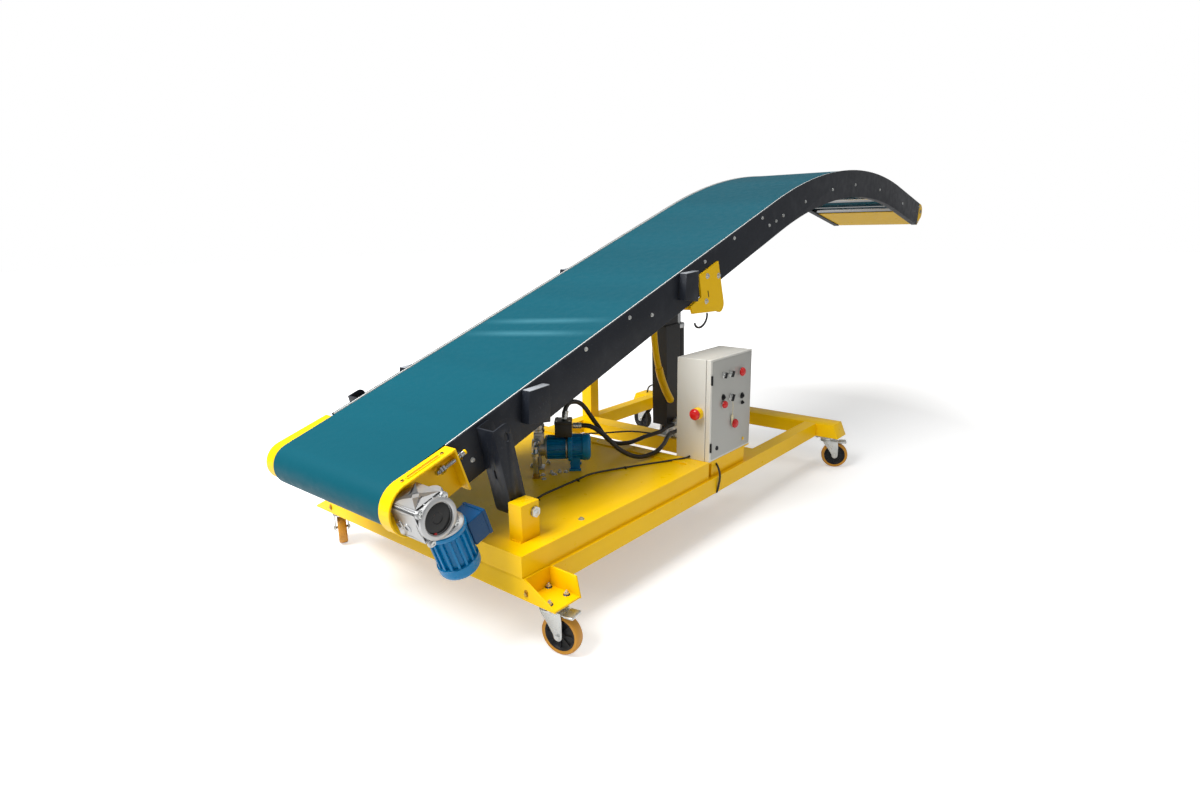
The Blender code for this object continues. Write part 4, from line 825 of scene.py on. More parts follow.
def dressed(obj: Object, name: str, body: str, finish: Finish | BeltFinish,
            smooth: float = 35.0) -> Object:
    """Name a piece, give it its finish and let it ride on its body.

    Args:
        obj: The shape.
        name: The piece's name.
        body: The body that it moves with.
        finish: What it is finished in.
        smooth: Edges flatter than this angle are shaded smooth.

    Returns:
        The finished piece.
    """
    obj.name = name
    obj.data.name = name
    obj.data.materials.clear()
    obj.data.materials.append(finish.material())
    take(obj)
    bpy.ops.object.shade_smooth_by_angle(angle=math.radians(smooth))
    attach(obj, body)
    log.info("%s: %d faces on %s", name, len(obj.data.polygons), body)
    return obj


def repaint(nodes: Sequence[str], finish: Finish) -> None:
    """Give CAD nodes a finish in place of their plain colour."""
    for name in nodes:
        node = frame["nodes"][name]
        node.data.materials.clear()
        node.data.materials.append(finish.material())


def hex_bolt(across: float, height: float, washer: float = 0.0, socket: bool = False) -> Object:
    """Model a bolt head that stands on XY.

    Args:
        across: Half the head's width over its corners.
        height: The head's height.
        washer: Radius of a washer under it, if it has one.
        socket: Whether it is a round head with a hexagon socket.

    Returns:
        The head, and its washer.
    """
    base = height * 0.18 if washer else 0
    if socket:
        head = turned([(across, base), (across, base + height * 0.8), (across * 0.86, base + height),
                       (across * 0.5, base + height), (across * 0.5, base + height * 0.5)], 18)
    else:
        head = turned([(across * 0.98, base), (across, base + height * 0.1), (across, base + height * 0.85),
                       (across * 0.86, base + height)], 6)
    if not washer:
        return head
    ring = turned([(washer, 0), (washer, base * 0.7), (washer * 0.94, base)], 20)
    return joined(head, ring)


@dataclass(frozen=True)
class BoomPath:
    """The belt line in the boom's own frame and the way from there to the model's frame.

    Attributes:
        tilt: The tilt axis behind the front crossbeam's face, X and Z.
        slope: The incline.
        belt_line: Height of the belt line over the tilt axis, square to the incline.
        arc_start: Where the arch starts along the belt line.
        arc_radius: The arch's radius at the belt line.
        arc_angle: How far the arch turns down.
        head_run: The straight length after the arch, to the head roller.
        frame_depth: Depth of the side frames.
        outer: Half the width over the side frames.
    """

    tilt: Flat = (0.1225, 0.3725)
    slope: float = math.radians(19.2)
    belt_line: float = 0.2777
    arc_start: float = 2.0
    arc_radius: float = 3.35
    arc_angle: float = math.radians(30.7)
    head_run: float = 0.52
    frame_depth: float = 0.148
    outer: float = 0.299

    @property
    def arc_end(self) -> float:
        """Where the arch ends along the belt line."""
        return self.arc_start + self.arc_radius * self.arc_angle

    @property
    def head_at(self) -> float:
        """Where the head roller's crown is along the belt line."""
        return self.arc_end + self.head_run

    def frame(self) -> Matrix:
        """Give the boom's frame: its origin on the tilt axis, x up the incline."""
        place = on_base(self.tilt[0], 0, self.tilt[1])
        return place @ Matrix.Rotation(-self.slope, 4, "Y")

    def turn(self, along: float) -> float:
        """Give how far the belt line has turned down at a distance along it."""
        return min(max(along - self.arc_start, 0) / self.arc_radius, self.arc_angle)

    def flat(self, along: float, depth: float) -> Flat:
        """Give a point of the boom's frame by its distance along the belt line and depth under it."""
        turn = self.turn(along)
        reach = self.arc_radius - depth
        before = min(along, self.arc_start)
        past = max(along - self.arc_end, 0)
        return (before + reach * math.sin(turn) + past * math.cos(turn),
                self.belt_line - self.arc_radius + reach * math.cos(turn) - past * math.sin(turn))

    def at(self, along: float, depth: float, y: float = 0.0) -> Matrix:
        """Give a placing on the boom: X along the belt line, Y to the far side, Z out of the belt.

        Args:
            along: Distance along the belt line.
            depth: Distance under it.
            y: Distance to the far side.

        Returns:
            The placing in the model's frame.
        """
        x, z = self.flat(along, depth)
        return self.frame() @ shift(x, y, z) @ Matrix.Rotation(self.turn(along), 4, "Y")

    def stations(self, start: float, end: float, spacing: float = 0.05, straight: float = 0.35) -> list[float]:
        """List distances along the boom, close together on its arch.

        Args:
            start: The first distance.
            end: The last distance.
            spacing: Spacing on the arch.
            straight: Spacing elsewhere.

        Returns:
            The distances in order.
        """
        places = [start]
        while places[-1] < end - 1e-6:
            here = places[-1]
            on_arch = self.arc_start - 1e-6 <= here < self.arc_end - 1e-6
            step = spacing if on_arch else straight
            stop = next((s for s in (self.arc_start, self.arc_end, end) if s > here + 1e-6), end)
            places.append(min(here + step, stop))
        return places


PATH = BoomPath()
# The tail drum's shaft in the boom's frame
DRUM_SHAFT = PATH.flat(-0.2943, 0.0713)


def on_boom(x: float, y: float, z: float) -> Matrix:
    """Give the placing at a point of the boom's frame."""
    return PATH.frame() @ shift(x, y, z)


@dataclass
class Stage:
    """The floor, the light and the camera at the photograph's viewing angle.

    Attributes:
        camera_from: The camera's place behind the front crossbeam's face, and its height.
        yaw: The view's direction from +X towards +Y.
        pitch: How far it looks down.
        roll: How far the picture is turned.
        lens: Focal length on a 36 mm wide frame.
        floor_size: Length of the floor's sides.
        floor_glow: How much the floor near the conveyor glows where it is seen.
        floor_fade: From where to where, away from the middle, that glow rises to full white.
    """

    camera_from: Point = (-1.22375, -1.8125, 1.1775)
    yaw: float = math.radians(39.74)
    pitch: float = math.radians(13.81)
    roll: float = math.radians(-0.91)
    lens: float = 20.925
    floor_size: float = 60.0
    floor_glow: float = 0.36
    floor_fade: Flat = (1.6, 3.1)

    def build(self) -> None:
        """Build the camera, the lights, the world and the floor."""
        self.camera()
        self.floor()
        self.lamps()
        self.world()

    def camera(self) -> None:
        """Set the camera up."""
        data = bpy.data.cameras.new("view")
        data.lens = self.lens
        data.sensor_width = 36
        data.clip_start = 0.05
        data.clip_end = 200
        camera = bpy.data.objects.new("view", data)
        shown(camera)
        flat = math.cos(self.pitch)
        ahead = Vector((math.cos(self.yaw) * flat, math.sin(self.yaw) * flat, -math.sin(self.pitch)))
        right = Vector((math.sin(self.yaw), -math.cos(self.yaw), 0))
        up = right.cross(ahead)
        turned_right = math.cos(self.roll) * right + math.sin(self.roll) * up
        turned_up = math.cos(self.roll) * up - math.sin(self.roll) * right
        turn = Matrix((turned_right, turned_up, -ahead)).transposed().to_4x4()
        camera.matrix_world = Matrix.Translation(at_base(*self.camera_from)) @ turn
        bpy.context.scene.camera = camera

    def floor(self) -> None:
        """Lay the pale floor."""
        bpy.ops.mesh.primitive_plane_add(size=self.floor_size, location=(0, 0, -0.0005))
        floor = bpy.context.object
        floor.name = "floor"
        wiring = Wiring("floor_white")
        away = wiring.add("ShaderNodeVectorMath", operation="LENGTH")
        wiring.join(wiring.position, away, 0)
        level = wiring.span(away.outputs["Value"], *self.floor_fade, self.floor_glow, 1)
        rays = wiring.add("ShaderNodeLightPath")
        glow = wiring.add("ShaderNodeEmission")
        wiring.join(wiring.maths("MULTIPLY", level, rays.outputs["Is Camera Ray"]), glow, "Strength")
        matt = wiring.add("ShaderNodeBsdfDiffuse", Color=(0.8, 0.8, 0.8, 1))
        both = wiring.add("ShaderNodeAddShader")
        wiring.join(matt.outputs[0], both, 0)
        wiring.join(glow.outputs[0], both, 1)
        wiring.join(both.outputs[0], wiring.tree.nodes["Material Output"], "Surface")
        wiring.tree.nodes.remove(wiring.shader)
        floor.data.materials.append(wiring.material)

    def lamps(self) -> None:
        """Hang the soft studio lights."""
        for name, place, target, size, power in (
                ("key", (-3.8, 0.6, 3.8), (-0.4, 0, 0.6), 2.4, 265),
                ("top", (0.4, 0.6, 5), (0.2, 0, 0.5), 4, 80),
                ("side", (0.6, -5, 2.6), (0.2, 0, 0.6), 3, 20)):
            data = bpy.data.lights.new(name, "AREA")
            data.size = size
            data.energy = power
            lamp = bpy.data.objects.new(name, data)
            shown(lamp)
            aim = (Vector(target) - Vector(place)).to_track_quat("-Z", "Y")
            lamp.matrix_world = Matrix.Translation(place) @ aim.to_matrix().to_4x4()

    def world(self) -> None:
        """Light the surroundings softly, white where they are seen."""
        world = bpy.data.worlds.new("studio")
        bpy.context.scene.world = world
        world.use_nodes = True
        tree = world.node_tree
        shine = tree.nodes["Background"]
        shine.inputs["Color"].default_value = (1, 1, 1, 1)
        rays = tree.nodes.new("ShaderNodeLightPath")
        seen = tree.nodes.new("ShaderNodeMath")
        seen.operation = "MAXIMUM"
        strength = tree.nodes.new("ShaderNodeMapRange")
        strength.inputs["To Min"].default_value = 0.34
        strength.inputs["To Max"].default_value = 1
        tree.links.new(rays.outputs["Is Camera Ray"], seen.inputs[0])
        tree.links.new(rays.outputs["Is Transmission Ray"], seen.inputs[1])
        tree.links.new(seen.outputs[0], strength.inputs["Value"])
        tree.links.new(strength.outputs["Result"], shine.inputs["Strength"])
        bpy.context.scene.view_settings.view_transform = "Standard"


@dataclass
class Hoses:
    """The two hydraulic hoses over the deck.

    Attributes:
        radius: The hoses' radius.
        routes: Each hose's own points behind the front crossbeam's face.
    """

    radius: float = 0.009
    routes: dict[str, tuple[Point, ...]] = field(default_factory=lambda: {
        "lift_hose_upper": route_mm(
            642, -85, 480.9, 642, -85, 507, 668, -90, 541, 725, -100, 525, 790, -112, 440, 870, -122, 345,
            980, -130, 312, 1100, -130, 310, 1220, -120, 300, 1300, -104, 300, 1345, -102, 300, 1389.4, -102, 300),
        "lift_hose_lower": route_mm(
            661.6, -107.9, 456, 674.5, -123.3, 456, 708, -160, 450, 745, -196, 412, 790, -236, 350, 860, -268, 310,
            950, -280, 305, 1060, -250, 306, 1180, -190, 300, 1270, -142, 284, 1345, -126, 276, 1389.4, -126, 276)})

    def build(self) -> None:
        for name, route in self.routes.items():
            points = smooth_route([at_base(*point) for point in route], 0.012)
            hose = swept(points, self.radius, 16)
            ferrules = [self.ferrule(points[0], points[4] - points[0], name + "_start_ferrule"),
                        self.ferrule(points[-1], points[-3] - points[-1], name + "_end_ferrule")]
            dressed(hose, name + "_rubber", "chassis", Paints.RUBBER)
            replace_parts(hose, name)

    def ferrule(self, end: Vector, inwards: Vector, name: str) -> Object:
        """Model the crimped sleeve at a hose's end.

        Args:
            end: The hose's end.
            inwards: The direction from there along the hose.
            name: The piece's name.

        Returns:
            The sleeve.
        """
        radius = self.radius
        profile = [(radius * 0.9, 0), (radius * 1.25, 0.0015), (radius * 1.25, 0.01), (radius * 1.12, 0.011),
                   (radius * 1.25, 0.012), (radius * 1.25, 0.022), (radius * 1.12, 0.023), (radius * 1.25, 0.024),
                   (radius * 1.25, 0.032), (radius * 1.02, 0.034)]
        return dressed(moved(turned(profile, 20), aimed(end, inwards)), name, "chassis", Paints.ZINC)


@dataclass
class Belt:
    """The belt as one loop with a lengthwise map for its weave.

    Attributes:
        half_width: Half the belt's width.
        thickness: The belt's thickness.
        drop: How far the belt lies under the frames' top edges.
        back_depth: Depth of the returning belt.
        settle: Where the returning belt leaves the drum's line.
        drum: Place of the drum's crown along the belt line.
        drum_radius: The tail drum's radius.
        head_radius: The head roller's radius.
        gap: Gap between the belt and what it runs on.
    """

    half_width: float = 0.284
    thickness: float = 0.003
    drop: float = 0.002
    back_depth: float = 0.1
    settle: float = 0.28
    drum: float = -0.2943
    drum_radius: float = 0.066
    head_radius: float = 0.045
    gap: float = 0.0003

    def loop(self) -> list[Flat]:
        """List the belt's inner line in the boom's frame, from the tail up and round."""
        inner = self.drop + self.thickness
        lean = math.degrees(PATH.arc_angle)
        drum = PATH.flat(self.drum, inner + self.gap + self.drum_radius)
        head = PATH.flat(PATH.head_at, inner + self.gap + self.head_radius)
        points = [PATH.flat(place, inner) for place in PATH.stations(self.drum, PATH.head_at, 0.05, 0.25)][:-1]
        points += arc(head, self.head_radius + self.gap, 90 - lean, -90 - lean, 20)
        back = [PATH.flat(place, self.back_depth)
                for place in PATH.stations(self.settle, PATH.head_at - 0.15, 0.05, 0.25)]
        points += back[::-1]
        return points + arc(drum, self.drum_radius + self.gap, 276, 92, 30)

    def build(self) -> None:
        """Draw the loop edge by edge, map it lengthwise and give it its thickness."""
        line = self.loop()
        bpy.ops.mesh.primitive_plane_add(size=1)
        belt = settle(bpy.context.object)
        first, second = line[0], line[1]
        corners = ((first, -1), (second, -1), (first, 1), (second, 1))
        for vertex, ((x, z), side) in zip(belt.data.vertices, corners):
            vertex.co = (x, side * self.half_width, z)
        with editing(belt, "EDGE") as mesh:
            pick_edges(belt, mesh, lambda middle, way: abs(way.y) > 0.9
                       and abs(middle.x - second[0]) + abs(middle.z - second[1]) < 1e-6)
            for (x0, z0), (x1, z1) in zip(line[1:], line[2:] + line[:1]):
                bpy.ops.mesh.extrude_edges_move(TRANSFORM_OT_translate={"value": (x1 - x0, 0, z1 - z0)})
        self.map_lengthwise(belt, line)
        with editing(belt, "VERT"):
            mended(0.00001)
        wall = belt.modifiers.new("wall", "SOLIDIFY")
        wall.thickness = self.thickness
        wall.offset = 1
        wall.use_even_offset = True
        take(belt)
        bpy.ops.object.modifier_apply(modifier=wall.name)
        moved(belt, PATH.frame())
        dressed(belt, "belt_cover", "boom", BeltFinish(), 40)
        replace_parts(belt, "conveyor_belt")

    def map_lengthwise(self, belt: Object, line: Sequence[Flat]) -> None:
        """Map the belt flat: U across it and V along it, both in metres.

        Args:
            belt: The belt's open strip, its faces in the loop's order.
            line: The loop's points.
        """
        layers = belt.data.uv_layers
        layer = layers[0] if layers else layers.new(name="lengthwise")
        layer.name = "lengthwise"
        travelled = [0]
        for start, end in zip(line, line[1:] + line[:1]):
            travelled.append(travelled[-1] + math.dist(start, end))
        for index, polygon in enumerate(belt.data.polygons):
            for corner in polygon.loop_indices:
                place = belt.data.vertices[belt.data.loops[corner].vertex_index].co
                start = math.dist((place.x, place.z), line[index])
                along = travelled[index] if start < 1e-5 else travelled[index + 1]
                layer.data[corner].uv = (place.y, along)


def upright(y: float) -> Matrix:
    """Stand a plate up on the boom: its outline on X and Z, its thickness from y to the near side."""
    return on_boom(0, y, 0) @ spun("X", 90)


def facing(x: float, y: float, z: float, side: float = NEAR) -> Matrix:
    """Stand a turned shape on a face of the boom, out to one side.

    Args:
        x: Place up the incline from the tilt axis.
        y: Place across.
        z: Place square to the incline.
        side: NEAR or FAR.

    Returns:
        The placing that turns +Z out to that side.
    """
    return on_boom(x, y, z) @ spun("X", -90 * side)


@dataclass
class SideFrames:
    """The two arched side frames with their lips, clamps with painted highlights on their tops, white top-edge strips
    and bolts.

    Attributes:
        sheet: The sheet's thickness.
        lip: Width of the lower lip.
        tail: Where the frames start along the belt line.
        head_gap: How far they end before the head roller's crown.
        clamps: Where the clamps sit along the belt line.
        clamp_corners: A clamp's corners, along and under the belt line from its place.
        clamp_reach: How far a clamp stands out.
        strip: Height and width of the white strip along the frame's top edge beside the belt.
        bolts: The bolts' places along and under the belt line.
    """

    sheet: float = 0.006
    lip: float = 0.03
    tail: float = -0.112
    head_gap: float = 0.03
    clamps: tuple[float, ...] = (0.245, 1.165)
    clamp_corners: tuple[Flat, ...] = flat_mm(-42, 1, 46, 26, 3, 138, -84, 94)
    clamp_reach: float = 0.034
    strip: Flat = (0.012, 0.004)
    bolts: tuple[Flat, ...] = flat_mm(
        -48, 90.5, 518, 21, 774, 25, 903, 75, 1312, 28, 1565, 22, 1832, 26, 1890, 81,
        1960, 85, 2040, 85, 2301, 88, 2657, 87, 2994, 80, 3420, 84, 3900, 84)

    def band(self, start: float, end: float, top: float, bottom: float) -> list[Flat]:
        """Outline a band of the frame between two depths."""
        places = PATH.stations(start, end, 0.06, 0.5)
        return ([PATH.flat(place, bottom) for place in places] + [PATH.flat(place, top) for place in places[::-1]])

    def build(self) -> None:
        """Build both frames and what is bolted to them."""
        for name, side in SIDES:
            self.web(name, side)
            self.clamp_top_highlights(name, side)
            self.white_top_edge(name, side)
            heads = [facing(*self.spot(place, side), side) for place in self.bolts]
            dressed(copied(hex_bolt(0.0062, 0.0042, 0.0078, socket=True), heads), "frame_bolts_" + name, "boom",
                    Paints.ZINC)

    def spot(self, place: Flat, side: float) -> Point:
        """Give a bolt's place on a frame's outer face."""
        x, z = PATH.flat(*place)
        return x, side * PATH.outer, z

    def web(self, name: str, side: float) -> None:
        """Build one frame's web with its folded lip and clamps.

        Args:
            name: near or far.
            side: NEAR or FAR.
        """
        end = PATH.head_at - self.head_gap
        inner = PATH.outer - self.sheet
        high = PATH.outer if side > 0 else -inner
        web = moved(plate([self.band(self.tail, end, 0, PATH.frame_depth)], self.sheet, 0.0009), upright(high))
        high = inner + 0.0005 if side > 0 else -inner + self.lip
        lip = moved(plate([self.band(self.tail, end, PATH.frame_depth - self.sheet, PATH.frame_depth)],
                          self.lip + 0.0005, 0.0009), upright(high))
        parts = [web, lip]
        for place in self.clamps:
            corners = [PATH.flat(place + along, depth) for along, depth in self.clamp_corners]
            high = PATH.outer + self.clamp_reach if side > 0 else -PATH.outer + 0.0005
            clamp = plate([corners], self.clamp_reach + 0.0005, 0.002)
            parts.append(moved(clamp, upright(high)))
        frame_piece = dressed(joined(*parts), "boom_frame_" + name, "boom", Paints.ANTHRACITE)
        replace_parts(frame_piece, "side_frame_" + name)

    def clamp_top_highlights(self, name: str, side: float) -> None:
        """Lay pale grey plates on the clamps' slanted tops: a painted highlight where the light falls on them.

        Args:
            name: near or far.
            side: NEAR or FAR.
        """
        caps = []
        for place in self.clamps:
            (x0, z0), (x1, z1) = [PATH.flat(place + along, depth) for along, depth in self.clamp_corners[:2]]
            length = math.dist((x0, z0), (x1, z1))
            lean = math.atan2(z0 - z1, x1 - x0)
            y = side * (PATH.outer + self.clamp_reach / 2 + 0.0005)
            cap = plate([rounded(length - 0.003, self.clamp_reach - 0.002, 0.003)], 0.0018, 0.0005)
            middle = Matrix.Translation(((x0 + x1) / 2, y, (z0 + z1) / 2 - 0.0004))
            caps.append(moved(cap, PATH.frame() @ middle @ Matrix.Rotation(lean, 4, "Y")))
        dressed(joined(*caps), "clamp_top_highlights_" + name, "boom", Paints.CLAMP_TOP_HIGHLIGHT)

    def white_top_edge(self, name: str, side: float) -> None:
        """Run the white strip between belt and frame.

        Args:
            name: near or far.
            side: NEAR or FAR.
        """
        height, width = self.strip
        inner = PATH.outer - self.sheet - 0.0003
        high = inner if side > 0 else -inner + width
        band = self.band(self.tail + 0.004, PATH.head_at - self.head_gap - 0.004, 0, height)
        dressed(moved(plate([band], width, 0.0006), upright(high)), "white_top_edge_" + name, "boom", Paints.TOP_EDGE_WHITE)


@dataclass
class TailBrackets:
    """What shows on the near tail bracket: its long slot, screws and the take-up spindle.

    Attributes:
        slot: Middle along the belt line, length and width of the slot.
        spindle: Start and end along the belt line, depth and distance from the middle.
        spindle_radius: The threaded spindle's radius.
        pitch: The thread's pitch.
        top_start: Where the near bracket's top starts to rise.
        top_rise: How steeply it rises.
    """

    slot: tuple[float, float, float] = (-0.212, 0.118, 0.016)
    spindle: tuple[float, float, float, float] = (-0.186, -0.081, 0.037, 0.3235)
    spindle_radius: float = 0.0078
    pitch: float = 0.0022
    top_start: float = -0.1123
    top_rise: float = 0.0341

    def build(self) -> None:
        """Dress both brackets."""
        middle, length, width = self.slot
        rim = moved(plate([oblong(length, width), oblong(length - 0.007, width - 0.007)], 0.0024, 0.0007),
                    self.on_top(middle))
        dressed(rim, "bracket_slot_rim", "boom", Paints.YELLOW)
        # A thin brown plate in the slot: painted shade for the slot's shaded depth.
        well = moved(plate([oblong(length - 0.007, width - 0.007)], 0.0006), self.on_top(middle))
        dressed(well, "bracket_slot_painted_shade", "boom", Paints.SLOT_SHADE_BROWN)
        screws = [self.on_top(-0.283), self.on_top(-0.145)]
        dressed(copied(hex_bolt(0.0055, 0.0034, socket=True), screws), "bracket_screws", "boom", Paints.BRASS)
        self.nose_rim()
        for name, side in SIDES:
            self.build_spindle(name, side)

    def on_top(self, along: float) -> Matrix:
        """Give a placing on the near bracket's top, which rises to its nose."""
        height = (self.top_start - along) * self.top_rise
        return PATH.at(along, -height, -0.32) @ Matrix.Rotation(math.atan(self.top_rise), 4, "Y")

    def nose_rim(self) -> None:
        """Bend the bead round the bracket's nose, outside the drum."""
        bead = [(-0.12, PATH.belt_line - 0.003)] + arc(DRUM_SHAFT, 0.0745, 96, 238, 24)
        points = [PATH.frame() @ Vector((x, -0.3395, z)) for x, z in bead]
        dressed(swept(points, 0.0026, 12), "bracket_nose_bead", "boom", Paints.YELLOW, 60)

    def build_spindle(self, name: str, side: float) -> None:
        """Cut the take-up spindle's thread and set its nuts.

        Args:
            name: near or far.
            side: NEAR or FAR.
        """
        start, end, depth, across = self.spindle
        profile = [(self.spindle_radius - 0.0012, 0)]
        height = 0.0008
        while height < end - start - self.pitch:
            profile += [(self.spindle_radius, height), (self.spindle_radius - 0.0008, height + self.pitch / 2)]
            height += self.pitch
        profile.append((self.spindle_radius - 0.0012, end - start))
        way = PATH.at(start, depth, side * across) @ spun("Y", 90)
        spindle = moved(turned(profile, 16), way)
        nuts = copied(hex_bolt(0.0125, 0.0075), [way @ shift(0, 0, place) for place in (0.012, 0.021, 0.086)])
        dressed(joined(spindle, nuts), "take_up_spindle_" + name, "boom", Paints.STEEL)


@dataclass
class Drive:
    """The worm gearbox on the drum's shaft and the ribbed motor under it.

    Attributes:
        near: The gearbox's near face.
        far: The gearbox's far face.
        half: Half the housing's length.
        above: Housing above the shaft.
        below: Housing below the shaft.
        worm: How far the motor's axis lies up the incline from the drum's.
        ring: The face ring's radius.
        bore: The dark bore's radius.
        body_radius: The motor's radius between its ribs.
        rib_height: How far its ribs stand out.
        ribs: How many ribs it has.
        body_length: The ribbed body's length.
        cowl: The fan cowl's radius and length.
        terminal: The terminal box's reach, width and height.
    """

    near: float = -0.448
    far: float = -0.312
    half: float = 0.049
    above: float = 0.049
    below: float = 0.052
    worm: float = 0.03
    ring: float = 0.056
    bore: float = 0.043
    body_radius: float = 0.048
    rib_height: float = 0.008
    ribs: int = 16
    body_length: float = 0.114
    cowl: Flat = (0.059, 0.048)
    terminal: tuple[float, float, float] = (0.056, 0.084, 0.078)

    def build(self) -> None:
        """Build gearbox and motor."""
        self.x, self.z = DRUM_SHAFT
        self.middle = (self.near + self.far) / 2 - 0.018
        self.gearbox()
        self.motor()
        self.terminal_box()

    def gearbox(self) -> None:
        """Cast the housing with its ring, bosses, webs and bolts."""
        x, z = self.x, self.z
        body = slab((x - self.half, self.near + 0.012, z - self.below),
                    (x + self.half, self.far - 0.006, z + self.above), 0.011, 2)
        with editing(body) as mesh:
            pick_faces(body, mesh, lambda middle, normal: normal.z > 0.95 and middle.z > z)
            bpy.ops.mesh.inset(thickness=0.01, depth=0)
            bpy.ops.mesh.inset(thickness=0.002, depth=-0.005)
        with editing(body) as mesh:
            pick_faces(body, mesh, lambda middle, normal: normal.x < -0.95)
            bpy.ops.mesh.inset(thickness=0.012, depth=0)
            bpy.ops.mesh.inset(thickness=0.002, depth=-0.004)
        parts = [moved(body, PATH.frame())]
        for height in (-0.042, -0.014, 0.014, 0.042):
            web = slab((x + height - 0.0022, self.near + 0.014, z + self.above - 0.008),
                       (x + height + 0.0022, self.far - 0.01, z + self.above + 0.004), 0.0014, 2)
            parts.append(moved(web, PATH.frame()))
        ring = turned([(self.ring - 0.004, 0), (self.ring + 0.001, 0.003), (self.ring + 0.001, 0.011),
                       (self.ring - 0.003, 0.0135), (self.bore + 0.003, 0.0135), (self.bore, 0.011),
                       (self.bore, 0.0035), (self.bore - 0.02, 0.003)], 48)
        parts.append(moved(ring, facing(x, self.near + 0.0135, z)))
        back = turned([(self.ring - 0.01, 0), (self.ring - 0.008, 0.002), (self.ring - 0.008, 0.006)], 40)
        parts.append(moved(back, facing(x, self.far - 0.0062, z, FAR)))
        ears = [facing(x + u, self.near + 0.014, z + w) for u, w in
                ((-0.041, 0.041), (0.041, 0.041), (-0.041, -0.05), (0.041, -0.05))]
        parts.append(copied(turned(flat_mm(12, 0, 11.5, 6, 10, 7.5), 20), ears))
        for y in (-0.372, -0.34):
            boss = turned(flat_mm(15, 0, 14.5, 6, 12, 7.5, 7, 7.5, 7, 3), 24)
            parts.append(moved(boss, on_boom(x - self.half + 0.001, y, z - 0.012) @ spun("Y", -90)))
        barrel = turned(flat_mm(30, -100, 33, -96, 33, -20, 43, -6, 43, 2), 32)
        flange = joined(barrel, turned(flat_mm(44, 0, 50, 2, 55.5, 6, 55.5, 12.5), 40))
        down = on_boom(x + self.worm, self.middle, z - self.below + 0.001) @ spun("X", 180)
        parts.append(moved(flange, down))
        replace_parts(dressed(joined(*parts), "gearbox_casting", "boom", Paints.CAST_METAL), "gearbox")
        # Black disc closing the bore: painted shade for the deep bore's dark inside.
        cap = turned([(self.bore - 0.001, 0), (self.bore - 0.001, 0.002), (self.bore - 0.006, 0.0036),
                      (0.016, 0.0036), (0.014, 0.0022)], 40)
        dressed(moved(cap, facing(x, self.near + 0.0115, z)), "gearbox_bore_shade", "boom", Paints.BORE_SHADE_BLACK)
        bolts = [place @ shift(0, 0, 0.0072) for place in ears]
        dressed(copied(hex_bolt(0.0075, 0.005, socket=True), bolts), "gearbox_bolts", "boom", Paints.ZINC)
        plug = moved(turned(flat_mm(6.5, 0, 6.5, 4, 5, 6), 6),
                     facing(x - 0.024, self.near + 0.012, z - self.below + 0.016))
        dressed(plug, "gearbox_plug", "boom", Paints.RED)

    def motor(self) -> None:
        """Build the ribbed motor with its end shield and rounded fan cowl."""
        top = self.z - self.below - 0.0113
        down = on_boom(self.x + self.worm, self.middle, top) @ spun("X", 180)
        shield = turned(flat_mm(56, 0, 58.5, 2, 58.5, 11, 56, 15, 50, 17), 48)
        body = turned([(self.body_radius, 0.01), (self.body_radius, self.body_length + 0.002)], 48)
        rib = slab((self.body_radius - 0.002, -0.0036, 0.016),
                   (self.body_radius + self.rib_height, 0.0036, self.body_length - 0.002), 0.0012, 2)
        ribs = copied(rib, around(self.ribs, 0.5))
        radius, length = self.cowl
        start = self.body_length - 0.006
        profile = [(radius - 0.004, start), (radius, start + 0.002), (radius, start + length * 0.42)]
        profile += arc((0.026, start + length * 0.42), (radius - 0.026, length * 0.56), 0, 90, 9)[1:-1]
        profile.append((0.024, start + length))
        cowl = turned(profile, 48)
        motor = moved(joined(shield, body, ribs, cowl), down)
        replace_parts(dressed(motor, "drive_motor_ribbed", "boom", Paints.MOTOR_BLUE), "drive_motor")
        screws = [down @ turn @ shift(0.016, 0, start + length - 0.001) for turn in around(8)]
        dressed(copied(turned(flat_mm(4, 0, 4, 1.2, 3, 1.6), 12), screws), "fan_cowl_screws", "boom", Paints.DARK_BLUE)

    def terminal_box(self) -> None:
        """Set the dark terminal box with its lid and screws on the motor's side."""
        reach, width, height = self.terminal
        top = self.z - self.below - 0.0113
        middle = top - self.body_length * 0.45
        start = self.x + self.worm + 0.044
        end = self.x + self.worm + 0.052 + reach
        box = slab((start, self.middle - width / 2, middle - height / 2),
                   (end - 0.01, self.middle + width / 2, middle + height / 2), 0.005, 3)
        lid = slab((end - 0.011, self.middle - width / 2 - 0.0015, middle - height / 2 - 0.0015),
                   (end, self.middle + width / 2 + 0.0015, middle + height / 2 + 0.0015), 0.004, 3)
        dressed(moved(joined(box, lid), PATH.frame()), "terminal_box", "boom", Paints.DARK_BLUE)
        outwards = on_boom(end - 0.0005, self.middle, middle) @ spun("Y", 90)
        screws = [outwards @ corner for corner in corners(height / 2 - 0.008, width / 2 - 0.008)]
        dressed(copied(hex_bolt(0.0042, 0.0028, socket=True), screws), "terminal_box_screws", "boom", Paints.ZINC)


